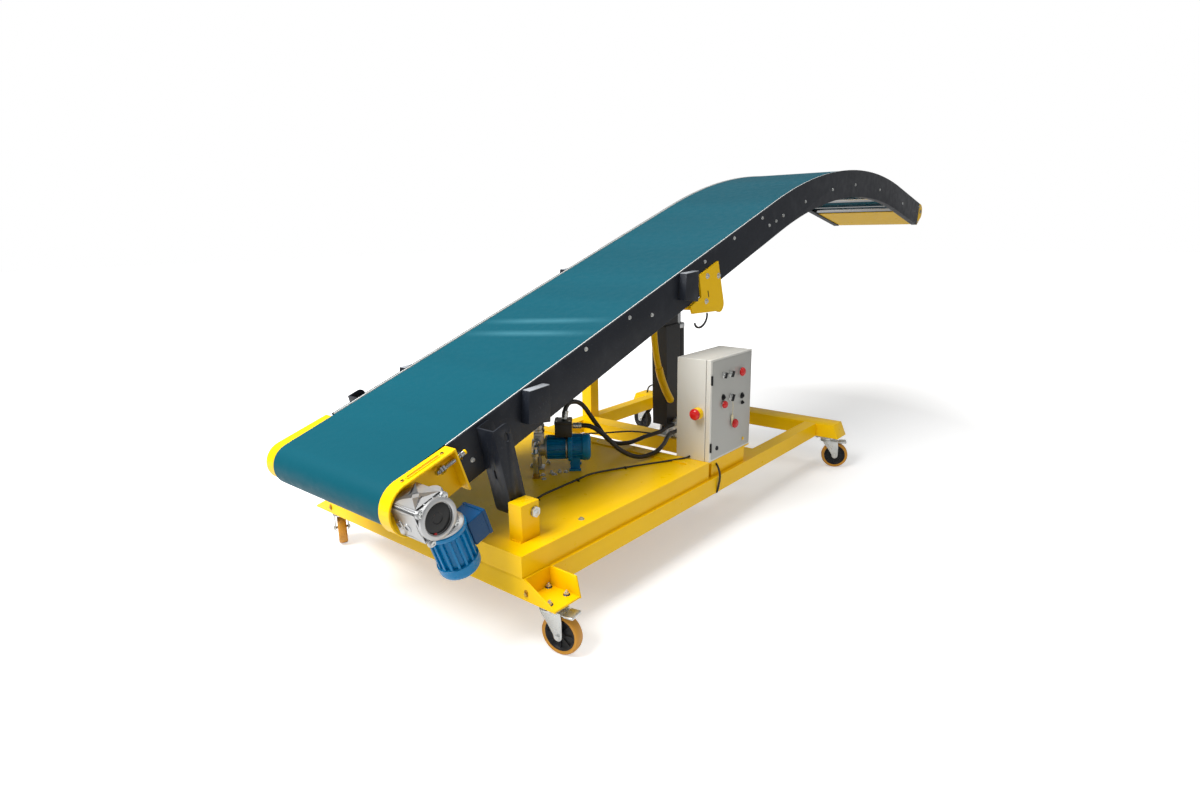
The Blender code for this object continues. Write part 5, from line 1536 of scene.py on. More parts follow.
@dataclass
class Pivots:
    """The folded legs on the tilt axis and the blocks and pins that hold them.

    Attributes:
        width: A leg's width along the incline.
        inner: The legs' inner faces.
        outer: The legs' outer faces.
        sheet: The legs' sheet.
        lean: How far a leg's top lies up the incline from its eye.
        top_depth: How far a leg's top lies under the belt line.
        block: The blocks' front, length, inner face and width.
        block_height: Bottom and top of the blocks.
    """

    width: float = 0.062
    inner: float = 0.2993
    outer: float = 0.375
    sheet: float = 0.006
    lean: float = 0.03
    top_depth: float = 0.01
    block: tuple[float, float, float, float] = (0.069, 0.0735, 0.381, 0.055)
    block_height: Flat = (0.2889, 0.405)

    def build(self) -> None:
        """Build both legs, blocks and pins."""
        for name, side in SIDES:
            self.leg(name, side)
            self.block_and_pin(name, side)

    def leg(self, name: str, side: float) -> None:
        """Fold one leg and cut its oval hole and slot.

        Args:
            name: near or far.
            side: NEAR or FAR.
        """
        half = self.width / 2
        top = PATH.belt_line - self.top_depth
        outline = arc((0, 0), half, 180, 360, 16)
        outline += arc((self.lean + half - 0.02, top - 0.02), 0.02, 0, 90, 6)
        outline.append((self.lean - half, top))
        depth = self.outer - self.inner
        high = self.outer if side > 0 else -self.inner
        body = moved(plate([outline], depth), upright(high))
        pocket = [(-half + self.sheet + self.lean * 0.17, 0.045), (half + 0.03, 0.045),
                  (self.lean + half + 0.03, top + 0.01), (self.lean - half + self.sheet, top + 0.01)]
        high = self.outer - self.sheet if side > 0 else -self.inner - self.sheet
        cutter = moved(plate([pocket], depth - 2 * self.sheet), upright(high))
        oval = arc((self.lean + 0.006, top - 0.04), (0.0085, 0.016), 0, 360, 20)[:-1]
        reach = side * (self.outer + 0.004)
        hole = moved(plate([oval], 0.014), upright(max(reach, reach - side * 0.014)))
        slot = slab((-0.05, side * 0.337 - 0.004, 0.105), (0.02, side * 0.337 + 0.004, 0.135), 0.0025)
        eye = moved(turned(flat_mm(11.4, -80, 11.4, 80), 32), facing(0, side * (self.inner + self.outer) / 2, 0, side))
        carved(body, cutter, hole, moved(slot, PATH.frame()), eye)
        leg = dressed(softened(body, 0.001), "folded_leg_" + name, "boom", Paints.ANTHRACITE)
        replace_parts(leg, "pivot_leg_" + name)

    def block_and_pin(self, name: str, side: float) -> None:
        """Build one block with its chamfered edges and the pin with washer and bolt head.

        Args:
            name: near or far.
            side: NEAR or FAR.
        """
        front, length, inner, width = self.block
        low, high = sorted((side * inner, side * (inner + width)))
        bottom, top = self.block_height
        block = slab(at_base(front, low, bottom), at_base(front + length, high, top), 0.0026, 3)
        weld = swept([at_base(front - 0.0005, low + 0.004, bottom + 0.002),
                      at_base(front - 0.0005, high - 0.004, bottom + 0.002)], 0.0028, 8)
        shell = dressed(joined(block, weld), "pivot_block_shell_" + name, "chassis", Paints.YELLOW)
        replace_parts(shell, "pivot_block_" + name)
        face = side * (inner + width)
        out = on_base(PATH.tilt[0], face, PATH.tilt[1]) @ spun("X", -90 * side)
        washer = moved(turned(flat_mm(16, -1, 16, 1.6, 15, 2.2), 32), out)
        dressed(washer, "pivot_washer_" + name, "chassis", Paints.BLUED_STEEL)
        head = moved(turned(flat_mm(12.2, 1.8, 12.5, 3, 12.5, 7.8, 10.5, 9, 6, 9, 6, 5), 6), out)
        dressed(head, "pivot_bolt_" + name, "chassis", Paints.ZINC)


@dataclass
class Cabinet:
    """The control cabinet with its hinged door, its switches and the stop button.

    Attributes:
        left: The cabinet's left face behind the front crossbeam's face.
        size: Width, depth and height.
        near: The door's outer face.
        bottom: The cabinet's underside.
        door: The door's thickness and its gap to the body.
        wall: The sheet's thickness.
        stop: Place of the stop button: distance from the middle plane and height.
    """

    left: float = 1.0053
    size: tuple[float, float, float] = (0.32, 0.15, 0.4)
    near: float = -0.501
    bottom: float = 0.2936
    door: Flat = (0.02, 0.002)
    wall: float = 0.004
    stop: Flat = (-0.449, 0.484)

    def build(self) -> None:
        """Build body, door, switches and stop button."""
        self.body()
        self.door_leaf()
        self.hinges()
        self.switches()
        self.hanging_tag()
        self.stop_button()

    def corner(self, u: float, v: float, w: float) -> Vector:
        """Give a point by its distance from the left, from the door's face and over the underside."""
        return at_base(self.left + u, self.near + v, self.bottom + w)

    def body(self) -> None:
        """Fold the hollow body with its rolled front edge."""
        width, depth, height = self.size
        front = sum(self.door)
        shell = slab(self.corner(0, front, 0), self.corner(width, depth, height), 0.0028, 3)
        hollow = slab(self.corner(self.wall, front - 0.01, self.wall),
                      self.corner(width - self.wall, depth - self.wall, height - self.wall))
        carved(shell, hollow)
        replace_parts(dressed(shell, "cabinet_shell", "chassis", Paints.CABINET), "cabinet_body")
        seal = moved(plate([rounded(width - 0.006, height - 0.006, 0.003),
                            rounded(width - 0.022, height - 0.022, 0.003)], 0.0016),
                     self.front_face(self.door[0] + self.door[1] - 0.0001))
        dressed(seal, "cabinet_seal", "chassis", Paints.SEAL_BROWN)

    def front_face(self, v: float, u: float | None = None, w: float | None = None) -> Matrix:
        """Stand a shape on the door's face, out towards the near side.

        Args:
            v: Distance behind the door's face.
            u: Distance from the left, or the middle.
            w: Height over the underside, or the middle.

        Returns:
            The placing.
        """
        width, _, height = self.size
        place = self.corner(width / 2 if u is None else u, v, height / 2 if w is None else w)
        return Matrix.Translation(place) @ spun("X", 90)

    def door_leaf(self) -> None:
        """Fold the door's pan and lay its grey face on it."""
        width, _, height = self.size
        pan = slab(self.corner(0, 0, 0), self.corner(width, self.door[0], height), 0.0026, 3)
        carved(pan, slab(self.corner(self.wall, 0.003, self.wall),
                         self.corner(width - self.wall, self.door[0] + 0.01, height - self.wall)))
        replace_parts(dressed(pan, "door_pan", "door", Paints.CABINET), "cabinet_door")
        face = plate([rounded(width - 0.016, height - 0.014, 0.006)], 0.0014, 0.0005)
        dressed(moved(face, self.front_face(0.0002, width / 2 + 0.004)), "door_face", "door", Paints.DOOR)

    def hinges(self) -> None:
        """Fit the black hinges and the latch."""
        parts = []
        for height in (0.3224, 0.0574):
            knuckle = bar(self.corner(0.0045, -0.003, height - 0.018),
                          self.corner(0.0045, -0.003, height + 0.018), 0.0042)
            leaf = slab(self.corner(0.004, -0.0028, height - 0.014), self.corner(0.014, 0.001, height + 0.014), 0.001)
            parts += [knuckle, leaf]
        latch = turned(flat_mm(8.5, 0, 9, 1.5, 8, 5, 3.5, 5, 3.5, 3), 24)
        parts.append(moved(latch, self.front_face(0, 0.0527, 0.0464)))
        dressed(joined(*parts), "door_hinges", "door", Paints.BLACK_PLASTIC)

    def switches(self) -> None:
        """Set the selectors, lamps and push buttons on the door."""
        width, _, height = self.size
        # Column and row as shares of the door, radius of the head
        selectors = ((0.29, 0.824, 0.0125), (0.46, 0.816, 0.0135), (0.48, 0.576, 0.015))
        buttons = ((0.71, 0.806, 0.0175), (0.29, 0.536, 0.015), (0.56, 0.299, 0.0185))
        dark = ((0.29, 0.606, 0.012), (0.76, 0.551, 0.0125), (0.77, 0.479, 0.008))
        rings, handles, heads, blacks = [], [], [], []
        for column, row, radius in selectors:
            place = self.front_face(-0.0012, column * width, row * height)
            ring = turned([(radius, 0), (radius, 0.0028), (radius - 0.002, 0.0048), (radius * 0.72, 0.0048),
                           (radius * 0.7, 0.0085), (radius * 0.62, 0.0095)], 28)
            rings.append(moved(ring, place))
            grip = slab((-0.0026, -radius * 0.92, 0.006), (0.0026, radius * 0.92, 0.0165), 0.0012, 2)
            handles.append(moved(grip, place @ spun("Z", -28)))
        for column, row, radius in buttons:
            place = self.front_face(-0.0012, column * width, row * height)
            ring = turned([(radius * 0.88, 0), (radius * 0.88, 0.0035), (radius * 0.8, 0.0048)], 28)
            rings.append(moved(ring, place))
            heads.append(moved(self.mushroom(radius, 0.0045, 0.0145), place))
        for column, row, radius in dark:
            place = self.front_face(-0.0012, column * width, row * height)
            black = turned([(radius, 0), (radius, 0.003), (radius * 0.86, 0.0045), (radius * 0.6, 0.0045),
                            (radius * 0.58, 0.0075), (radius * 0.5, 0.0085)], 28)
            blacks.append(moved(black, place))
            top = turned([(radius * 0.4, 0.008), (radius * 0.38, 0.01), (radius * 0.3, 0.0106)], 20)
            handles.append(moved(top, place))
        dressed(joined(*rings), "switch_rings", "door", Paints.ZINC)
        dressed(joined(*handles, *blacks), "switch_handles", "door", Paints.BLACK_PLASTIC)
        dressed(joined(*heads), "push_button_heads", "door", Paints.RED)
        spot = moved(turned(flat_mm(7, 0, 7, 1.8, 5.5, 3.2), 20),
                     self.front_face(-0.001, 0.82 * width, 0.0885 * height))
        dressed(spot, "door_spot", "door", Paints.STOP_YELLOW)

    def mushroom(self, radius: float, start: float, height: float) -> Object:
        """Turn a mushroom head with a domed, dished top.

        Args:
            radius: The head's radius.
            start: Height of its rim.
            height: The head's height.

        Returns:
            The head about +Z.
        """
        profile = [(radius * 0.72, start - 0.004), (radius * 0.78, start), (radius * 0.97, start + 0.001),
                   (radius, start + 0.003)]
        profile += arc((radius * 0.34, start + 0.003), (radius * 0.66, height - 0.003), 0, 78, 6)[1:]
        return turned(profile, 32)

    def hanging_tag(self) -> None:
        """Hang the blank cream tag on its string under the middle selector."""
        width, _, height = self.size
        tag = plate([rounded(0.017, 0.05, 0.007), arc((0, 0.018), 0.0022, 0, 360, 12)[:-1]], 0.0008)
        place = self.front_face(-0.005, 0.515 * width, 0.335 * height) @ spun("Z", 9)
        dressed(moved(tag, place), "hanging_tag", "door", Paints.CREAM_CARD)
        points = smooth_route([self.corner(0.48 * width, -0.01, 0.545 * height),
                               self.corner(0.488 * width, -0.011, 0.48 * height),
                               self.corner(0.5 * width, -0.0065, 0.385 * height)], 0.006)
        dressed(swept(points, 0.0011, 8), "tag_string", "door", Paints.CREAM_CARD)

    def stop_button(self) -> None:
        """Build the stop button: a red mushroom head on a yellow base."""
        y, z = self.stop
        place = on_base(self.left - 0.0003, y, z) @ spun("Y", -90)
        base = turned(flat_mm(23, 0, 23.5, 1.5, 23, 16, 21.5, 20.5, 18, 21.5), 40)
        dressed(moved(base, place), "stop_base", "chassis", Paints.STOP_YELLOW)
        head = moved(self.mushroom(0.0225, 0.0225, 0.0165), place)
        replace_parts(dressed(head, "stop_head", "chassis", Paints.RED), "emergency_stop")


ACROSS = Matrix(((0, 0, 1, 0), (1, 0, 0, 0), (0, 1, 0, 0), (0, 0, 0, 1)))


@dataclass
class Crossbeams:
    """The two crossbeams that carry the castors.

    Attributes:
        half: Half a beam's length at its foot.
        width: A beam's width.
        bottom: Its underside.
        top: Its top.
        wall: Its sheet.
        end_lean: How far the back wall's ends lean in.
        mouth: Where the front beam's open ends start.
        rear: The rear beam's front face.
        mark: Place of the front face's bolts, across and up.
        castor: How far a castor's middle lies from the middle plane.
        nut: Half the spacing of a castor's nuts.
        rear_hoop: The small cable hoop on the rear beam, across and up.
    """

    half: float = 0.625
    width: float = 0.11
    bottom: float = 0.1623
    top: float = 0.2273
    wall: float = 0.006
    end_lean: float = 0.015
    mouth: float = 0.508
    rear: float = 2.006
    mark: Flat = (0.515, 0.187)
    castor: float = 0.5505
    nut: float = 0.035
    rear_hoop: tuple[Flat, ...] = flat_mm(553, 227, 540, 262, 505, 280, 470, 272, 450, 227)

    def standing(self, outline: list[Flat], x: float, thickness: float, round_off: float = 0.0012) -> Object:
        """Stand a plate up across the base, from x towards the rear."""
        return moved(plate([outline], thickness, round_off), on_base(x, 0, 0) @ ACROSS)

    def build(self) -> None:
        """Build both beams and their small parts."""
        self.front_beam()
        self.rear_beam()
        self.small_parts()

    def trapezoid(self, lean: float) -> list[Flat]:
        """Outline a wall whose ends lean in."""
        return [(-self.half, self.bottom), (self.half, self.bottom), (self.half - lean, self.top),
                (lean - self.half, self.top)]

    def front_beam(self) -> None:
        """Fold the front beam, open to the top at both ends."""
        low = self.half - 0.0025
        floor_top = self.bottom + self.wall
        front = [(-self.half, self.bottom), (self.half, self.bottom), (low, floor_top), (self.mouth, self.top),
                 (-self.mouth, self.top), (-low, floor_top)]
        closing = self.mouth - self.wall
        parts = [self.standing(front, 0, self.wall),
                 self.standing(self.trapezoid(self.end_lean), self.width - self.wall, self.wall),
                 slab(at_base(0, -low, self.bottom), at_base(self.width, low, floor_top), 0.0008),
                 slab(at_base(0, -self.mouth, self.top - self.wall), at_base(self.width, self.mouth, self.top),
                      0.0012, 2)]
        for side in (NEAR, FAR):
            ends = sorted((side * closing, side * (self.mouth - 0.0005)))
            parts.append(slab(at_base(0.001, ends[0], self.bottom + 0.001),
                              at_base(self.width - 0.001, ends[1], self.top - 0.001)))
        beam = dressed(joined(*parts), "front_beam_folded", "chassis", Paints.YELLOW)
        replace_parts(beam, "front_crossbeam")

    def rear_beam(self) -> None:
        """Fold the closed rear beam with its slanted ends and weld seams."""
        beam = self.standing(self.trapezoid(0.0275), self.rear, self.width, 0.003)
        seams = []
        for side in (NEAR, FAR):
            for y in (0.4545, 0.5135):
                seams.append(swept([at_base(self.rear + 0.001, side * y, self.bottom + 0.004),
                                    at_base(self.rear + 0.001, side * y, self.top - 0.002)], 0.0016, 8))
        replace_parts(dressed(joined(beam, *seams), "rear_beam_folded", "chassis", Paints.YELLOW),
                    "rear_crossbeam")

    def small_parts(self) -> None:
        """Set the face's bolts on painted shade of their holes, and the nuts over the castors."""
        across, height = self.mark
        shades, bolts, washers, nuts = [], [], [], []
        for side in (NEAR, FAR):
            place = on_base(-0.0003, side * across, height) @ spun("Y", -90)
            # Brown oblongs under the face's bolts: painted shade of their holes.
            shades.append(moved(plate([oblong(0.022, 0.015)], 0.0007, 0.0002), place))
            bolts.append(place @ shift(-0.002, 0, 0.0006))
            floor = on_base(self.width / 2, side * self.castor, self.bottom + self.wall)
            for corner in corners(self.nut, self.nut):
                washers.append(floor @ corner)
                nuts.append(floor @ corner @ shift(0, 0, 0.0014))
        dressed(joined(*shades), "beam_face_slot_shade", "chassis", Paints.SLOT_SHADE_BROWN)
        dressed(copied(hex_bolt(0.0062, 0.004), bolts), "beam_face_bolts", "chassis", Paints.BRASS)
        dressed(copied(turned(flat_mm(10.5, 0, 10.5, 1.2, 10, 1.6), 20), washers), "castor_washers",
                "chassis", Paints.BLUED_STEEL)
        nut = joined(hex_bolt(0.0078, 0.0068), turned(flat_mm(4, 6, 4, 11.5, 3.4, 12.2), 12))
        dressed(copied(nut, nuts), "castor_nuts", "chassis", Paints.ZINC)
        line = [at_base(self.rear + self.width / 2, y, z) for y, z in self.rear_hoop]
        dressed(swept(smooth_route(line, 0.012), 0.0045, 10), "rear_cable_hoop", "chassis", Paints.RUBBER)


@dataclass
class DeckParts:
    """Bolts, weld beads and the clipped cables on the deck.

    Attributes:
        floor: The deck sheet's top.
        top: The deck rails' top.
        bolts: Places of the bolts in the sheet.
        rail_cable: The cable along the near rail.
        far_cable: The cable along the far side to the lift.
        outlet: The cabinet's cable over the side tube.
    """

    floor: float = 0.2886
    top: float = 0.2936
    bolts: tuple[Flat, ...] = flat_mm(604, -121, 528, -74, 499, -107, 558, -105, 969, 25)
    rail_cable: tuple[Point, ...] = route_mm(
        160, -352, 292.5, 240, -300, 292.5, 344, -229, 293, 466, -218, 293, 560, -216, 292.5,
        647, -217, 292, 772, -272, 292, 900, -340, 292, 985, -400, 298, 1004.5, -415, 305)
    far_cable: tuple[Point, ...] = route_mm(
        640, 60, 292.5, 720, 110, 293, 820, 150, 293, 930, 150, 294,
        1000, 140, 297, 1100, 100, 285, 1240, 50, 268, 1367.5, 10, 233.5)
    outlet: tuple[Point, ...] = route_mm(
        1075, -440, 289, 1074, -470, 284, 1068, -500, 268, 1058, -520, 235,
        1050, -521.5, 200, 1046, -515, 166, 1045, -500, 156.5)

    def build(self) -> None:
        """Dress the deck."""
        heads = [on_base(x, y, self.floor) for x, y in self.bolts]
        heads.append(on_base(0.3, -0.462, self.top))
        dressed(copied(hex_bolt(0.0068, 0.0048, 0.01), heads), "deck_bolts", "chassis", Paints.ZINC)
        for name, route, radius in (("deck_rail_cable", self.rail_cable, 0.0036),
                                    ("deck_far_cable", self.far_cable, 0.0036),
                                    ("cabinet_cable", self.outlet, 0.0042)):
            points = smooth_route([at_base(*point) for point in route], 0.012)
            dressed(swept(points, radius, 10), name, "chassis", Paints.RUBBER)
        clips = []
        for x, y, turn in ((0.344, -0.229, -20), (0.56, -0.216, 0), (0.772, -0.272, -28), (0.82, 0.15, 10)):
            clip = plate([rounded(0.009, 0.024, 0.002)], 0.0012, 0.0003)
            saddle = swept(route_mm(0, -5.5, 0, 0, -4.2, 6.4, 0, 0, 8.8, 0, 4.2, 6.4, 0, 5.5, 0), 0.0012, 8)
            place = on_base(x, y, self.floor) @ spun("Z", turn)
            clips.append(moved(joined(clip, saddle), place))
        dressed(joined(*clips), "cable_clips", "chassis", Paints.BLACK_PLASTIC)
        beads = [swept([at_base(x, side * 0.501, 0.2285) for x in (0.1105, 1.004)], 0.0016, 8) for side in (NEAR, FAR)]
        dressed(joined(*beads), "deck_weld_beads", "chassis", Paints.YELLOW)


@dataclass
class PowerUnit:
    """The small hydraulic power unit on the deck: its motor, pump, valve block and pipes.

    Attributes:
        place: Its axis behind the front crossbeam's face.
        turn: How far it stands turned.
        floor: The deck sheet under its axis.
        cooling_fins: How many fins the finned body has.
    """

    place: Point = (0.655, -0.1, 0.372)
    turn: float = math.radians(-50.0)
    floor: float = 0.2889 - 0.372
    cooling_fins: int = 14

    def build(self) -> None:
        """Build the unit's two halves and its small parts."""
        self.frame = Matrix.Translation(at_base(*self.place)) @ Matrix.Rotation(self.turn, 4, "Z")
        self.motor_half()
        self.pump_half()
        self.pipes()

    def along(self, x: float, y: float = 0.0, z: float = 0.0) -> Matrix:
        """Give a placing whose +Z runs along the unit to the cowl."""
        return self.frame @ shift(x, y, z) @ spun("Y", 90)

    def box(self, low: Point, high: Point, round_off: float = 0.002) -> Object:
        """Model a box in the unit's own frame."""
        return moved(slab(low, high, round_off, 2), self.frame)

    def motor_half(self) -> None:
        """Build the blue motor with its lobed shield, ribs and rounded cowl."""
        parts = [moved(turned(flat_mm(44, -9, 53, -8.5, 56, -6, 56, 6, 53, 9), 40), self.along(0))]
        for turn in (38, 142, 218, 322):
            angle = math.radians(turn)
            lobe = turned(flat_mm(9.5, -8.5, 10, -7, 10, 7, 9, 8.5), 16)
            parts.append(moved(lobe, self.along(0, 0.05 * math.cos(angle), 0.05 * math.sin(angle))))
        parts.append(moved(turned(flat_mm(45.5, 7, 45.5, 50), 40), self.along(0)))
        rib = slab((0.044, -0.0016, 0.01), (0.05, 0.0016, 0.047), 0.0007)
        parts.append(copied(rib, [self.along(0) @ turn for turn in around(18, 0.5)]))
        cowl = [(0.05, 0.046), (0.052, 0.048), (0.052, 0.062)]
        cowl += arc((0.034, 0.062), (0.018, 0.016), 20, 80, 3) + [(0.034, 0.078)]
        parts.append(moved(turned(cowl, 40), self.along(0)))
        for side in (-1, 1):
            y0, y1 = sorted((side * 0.03, side * 0.045))
            parts.append(self.box((-0.004, y0, self.floor), (0.04, y1, self.floor + 0.008), 0.0015))
            y0, y1 = sorted((side * 0.026, side * 0.034))
            parts.append(self.box((0, y0, self.floor + 0.004), (0.036, y1, -0.03), 0.0015))
        motor = dressed(joined(*parts), "unit_motor", "chassis", Paints.MOTOR_BLUE)
        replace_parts(motor, "hydraulic_motor")
        box = self.box((-0.056, -0.034, 0.0463), (0.008, 0.034, 0.0963), 0.004)
        lid = self.box((-0.0575, -0.0355, 0.0955), (0.0095, 0.0355, 0.1083), 0.005)
        gland = moved(turned(flat_mm(9.5, 0, 9.5, 6, 8, 11, 5.5, 12), 12),
                      self.frame @ shift(-0.024, 0.034, 0.07) @ spun("X", -90))
        dressed(joined(box, lid, gland), "unit_terminal_box", "chassis", Paints.BLACK_PAINT)
        bolts = [moved(hex_bolt(0.0072, 0.0055, socket=True), self.along(-0.0075, 0.043, -0.026) @ spun("Y", 180))]
        for corner in corners(0.024, 0.027):
            bolts.append(moved(hex_bolt(0.0036, 0.0026, socket=True), self.frame @ shift(-0.024, 0, 0.1078) @ corner))
        dressed(joined(*bolts), "unit_box_screws", "chassis", Paints.ZINC)

    def pump_half(self) -> None:
        """Build the cast finned body, the pump, its valve block and foot."""
        parts = [moved(turned(flat_mm(36, -91.5, 40, -89.5, 40, -9.3), 36), self.along(0))]
        fin = slab((0.038, -0.0017, -0.086), (0.0465, 0.0017, -0.014), 0.0008)
        sleeve = moved(turned(flat_mm(39.5, -89, 40.8, -88.5, 40.8, -10, 39.5, -9.6), 36), self.along(0))
        fins = copied(fin, [self.along(0) @ turn for turn in around(self.cooling_fins, 0.5)])
        dressed(joined(sleeve, fins), "unit_fins", "chassis", Paints.MOTOR_BLUE)
        for x in (-0.0915, -0.0145):
            parts.append(moved(turned(flat_mm(44, -2.5, 46, -1.2, 46, 3.5, 44, 4.5), 36), self.along(x)))
        casing = flat_mm(26, -145.5, 31, -144.5, 34, -140, 34, -128, 30.5, -126, 30.5, -116, 34, -114, 34, -90)
        parts.append(moved(turned(casing, 36), self.along(0)))
        parts.append(self.box((-0.1365, -0.026, 0.005), (-0.099, 0.026, 0.062), 0.003))
        parts.append(self.box((-0.13, -0.0325, 0.022), (-0.106, -0.024, 0.05), 0.003))
        cap = flat_mm(18, 61, 22, 62.5, 22, 72, 19, 73.5, 19, 79, 22, 80.5, 22, 90, 16, 96.5, 6, 97)
        parts.append(moved(turned(cap, 28), self.frame @ shift(-0.1178, 0, 0)))
        parts.append(self.box((-0.136, -0.024, self.floor), (-0.1, 0.024, self.floor + 0.007), 0.0015))
        parts.append(self.box((-0.125, -0.015, self.floor + 0.004), (-0.111, 0.015, -0.02), 0.002))
        pump = dressed(joined(*parts), "unit_pump", "chassis", Paints.CAST_METAL)
        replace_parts(pump, "hydraulic_pump")

    def pipes(self) -> None:
        """Run the suction elbow and pipe to the deck with their nuts, and the small fittings."""
        x, y = -0.124, -0.11
        route = [Vector((x, -0.02, 0.03)), Vector((x, -0.06, 0.03)), Vector((x, -0.092, 0.029)),
                 Vector((x, -0.106, 0.02)), Vector((x, y, 0)), Vector((x, y, -0.04)),
                 Vector((x, y, self.floor + 0.016))]
        points = [self.frame @ point for point in smooth_route(route, 0.008)]
        pipe = swept(points, 0.011, 14)
        sideways = self.frame @ shift(x, -0.034, 0.03) @ spun("X", 90)
        parts = [pipe, moved(hex_bolt(0.0165, 0.014), sideways)]
        elbow = turned(flat_mm(12.5, 0, 15, 1.5, 15, 12, 12.5, 13.5), 20)
        parts.append(moved(elbow, self.frame @ shift(x, y, 0)))
        parts.append(moved(turned(flat_mm(6, 0, 9.5, 1, 9.5, 8, 6, 9), 12), self.frame @ shift(x, y + 0.006, 0.026)))
        dressed(joined(*parts), "suction_pipe", "chassis", Paints.STEEL)
        fitting = turned(flat_mm(15, 0, 15, 6, 12.5, 7, 12.5, 18, 11, 19), 16)
        dressed(moved(fitting, self.frame @ shift(x, y, self.floor)), "suction_fitting", "chassis", Paints.BRASS)
        fittings = []
        for u, v in ((-0.15, 0.01), (-0.09, 0.052), (-0.04, -0.058), (-0.07, -0.07)):
            fittings.append(self.frame @ shift(u, v, self.floor - 0.0003))
        stub = joined(hex_bolt(0.0085, 0.007), turned(flat_mm(4.8, 6, 4.8, 13, 4, 14), 12))
        dressed(copied(stub, fittings), "unit_floor_fittings", "chassis", Paints.ZINC)


@dataclass
class Castors:
    """The four braked swivel castors.

    Attributes:
        swivels: Place and heading of each swivel.
        trail: How far the axle trails the swivel.
        wheel: The wheel's radius.
        half_width: Half the wheel's width.
        rim: The core's radius.
        race: Radius and height of the swivel's bearing race, and its underside.
        crown: Underside and top of the fork's crown.
        leg: Inner and outer face of the fork's legs.
    """

    swivels: dict[str, tuple[float, float, float]] = field(default_factory=lambda: {
        "front_near": (0.055, -0.5505, -80), "front_far": (0.055, 0.5505, 62),
        "rear_near": (2.061, -0.5505, -65), "rear_far": (2.061, 0.5505, 80)})
    trail: float = 0.04
    wheel: float = 0.0625
    half_width: float = 0.016
    rim: float = 0.0495
    race: tuple[float, float, float] = (0.03, 0.018, 0.138)
    crown: Flat = (0.1305, 0.1375)
    leg: Flat = (0.0215, 0.0255)

    def build(self) -> None:
        """Build all four castors."""
        for name, (x, y, heading) in self.swivels.items():
            turned_frame = on_base(x, y, 0) @ spun("Z", heading)
            self.plate_and_race(name, x, y)
            self.fork(name, turned_frame)
            self.wheel_parts(name, turned_frame @ shift(self.trail, 0, self.wheel),
                             Paints.FAR_TREAD if name == "rear_far" else Paints.AMBER)

    def plate_and_race(self, name: str, x: float, y: float) -> None:
        """Build the mounting plate with its bolts and the bearing race."""
        radius, height, low = self.race
        top = on_base(x, y, low + height)
        sheet = moved(plate([rounded(0.094, 0.094, 0.01)], 0.0058, 0.001), top)
        race = moved(turned([(radius - 0.006, 0), (radius - 0.001, 0.001), (radius, 0.004), (radius, 0.012),
                             (radius - 0.003, 0.015), (radius + 0.002, height + 0.0003)], 36), on_base(x, y, low))
        heads = [top @ corner @ spun("X", 180) for corner in corners(0.035, 0.035)]
        heads = copied(hex_bolt(0.0078, 0.0052), heads)
        piece = dressed(joined(sheet, race, heads), "castor_top_" + name, "chassis", Paints.ZINC)
        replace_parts(piece, "castor_plate_" + name)

    def fork(self, name: str, frame: Matrix) -> None:
        """Press the fork with its crown, legs, axle bolt, brake pedal and bar.

        Args:
            name: The castor's name.
            frame: The swivel's frame.
        """
        body = "swivel_" + name
        low, high = self.crown
        inner, outer = self.leg
        radius = self.race[0]
        crown = turned([(radius - 0.004, low), (radius, low + 0.0015), (radius, high - 0.001), (radius - 0.003, high)],
                       36)
        bridge = slab((-0.004, -outer, low), (self.trail + 0.012, outer, high - 0.0006), 0.002, 2)
        leg = [(-0.019, high - 0.002), (self.trail + 0.011, high - 0.002), (self.trail + 0.0145, high - 0.028),
               (self.trail + 0.0145, self.wheel + 0.004)]
        leg += arc((self.trail, self.wheel), 0.014, -10, -170, 8)
        leg += [(self.trail - 0.0145, self.wheel + 0.004), (0.006, high - 0.04), (-0.015, high - 0.014)]
        upright_turn = spun("X", 90)
        legs = [moved(plate([leg], outer - inner, 0.0009), shift(0, y, 0) @ upright_turn) for y in (-inner, outer)]
        axle = moved(turned([(0.005, -outer - 0.004), (0.005, outer + 0.004)], 16),
                     shift(self.trail, 0, self.wheel) @ upright_turn)
        ends = []
        for side in (-1, 1):
            way = shift(self.trail, side * outer, self.wheel) @ spun("X", -90 * side)
            ends.append(moved(hex_bolt(0.0085, 0.005, 0.0098), way))
        pin = moved(turned(flat_mm(9, 0, 9, 2, 6, 4.5), 20), shift(0, 0, low - 0.004))
        tie = slab((self.trail - 0.016, -outer + 0.0035, low - 0.002),
                   (self.trail + 0.03, outer - 0.0035, low + 0.0015), 0.0015)
        piece = joined(crown, bridge, *legs, axle, *ends, pin, tie)
        piece = dressed(moved(piece, frame), "castor_yoke_" + name, body, Paints.ZINC)
        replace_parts(piece, "castor_fork_" + name)
        pedal = slab((self.trail + 0.02, -outer + 0.001, low - 0.004),
                     (self.trail + 0.052, outer - 0.001, low + 0.0035), 0.0028, 3)
        with editing(pedal) as mesh:
            pick_faces(pedal, mesh, lambda middle, normal: normal.z > 0.9)
            bpy.ops.mesh.inset(thickness=0.0035, depth=0)
            bpy.ops.mesh.inset(thickness=0.0015, depth=-0.0012)
        dressed(moved(pedal, frame), "brake_pedal_" + name, body, Paints.ZINC)
        starts = [self.trail + 0.026 + step * 0.0062 for step in range(4)]
        grip = [moved(slab((start, -0.016, low + 0.002), (start + 0.003, 0.016, low + 0.004), 0.0006), frame)
                for start in starts]
        dressed(joined(*grip), "pedal_ribs_" + name, body, Paints.BLACK_PLASTIC)

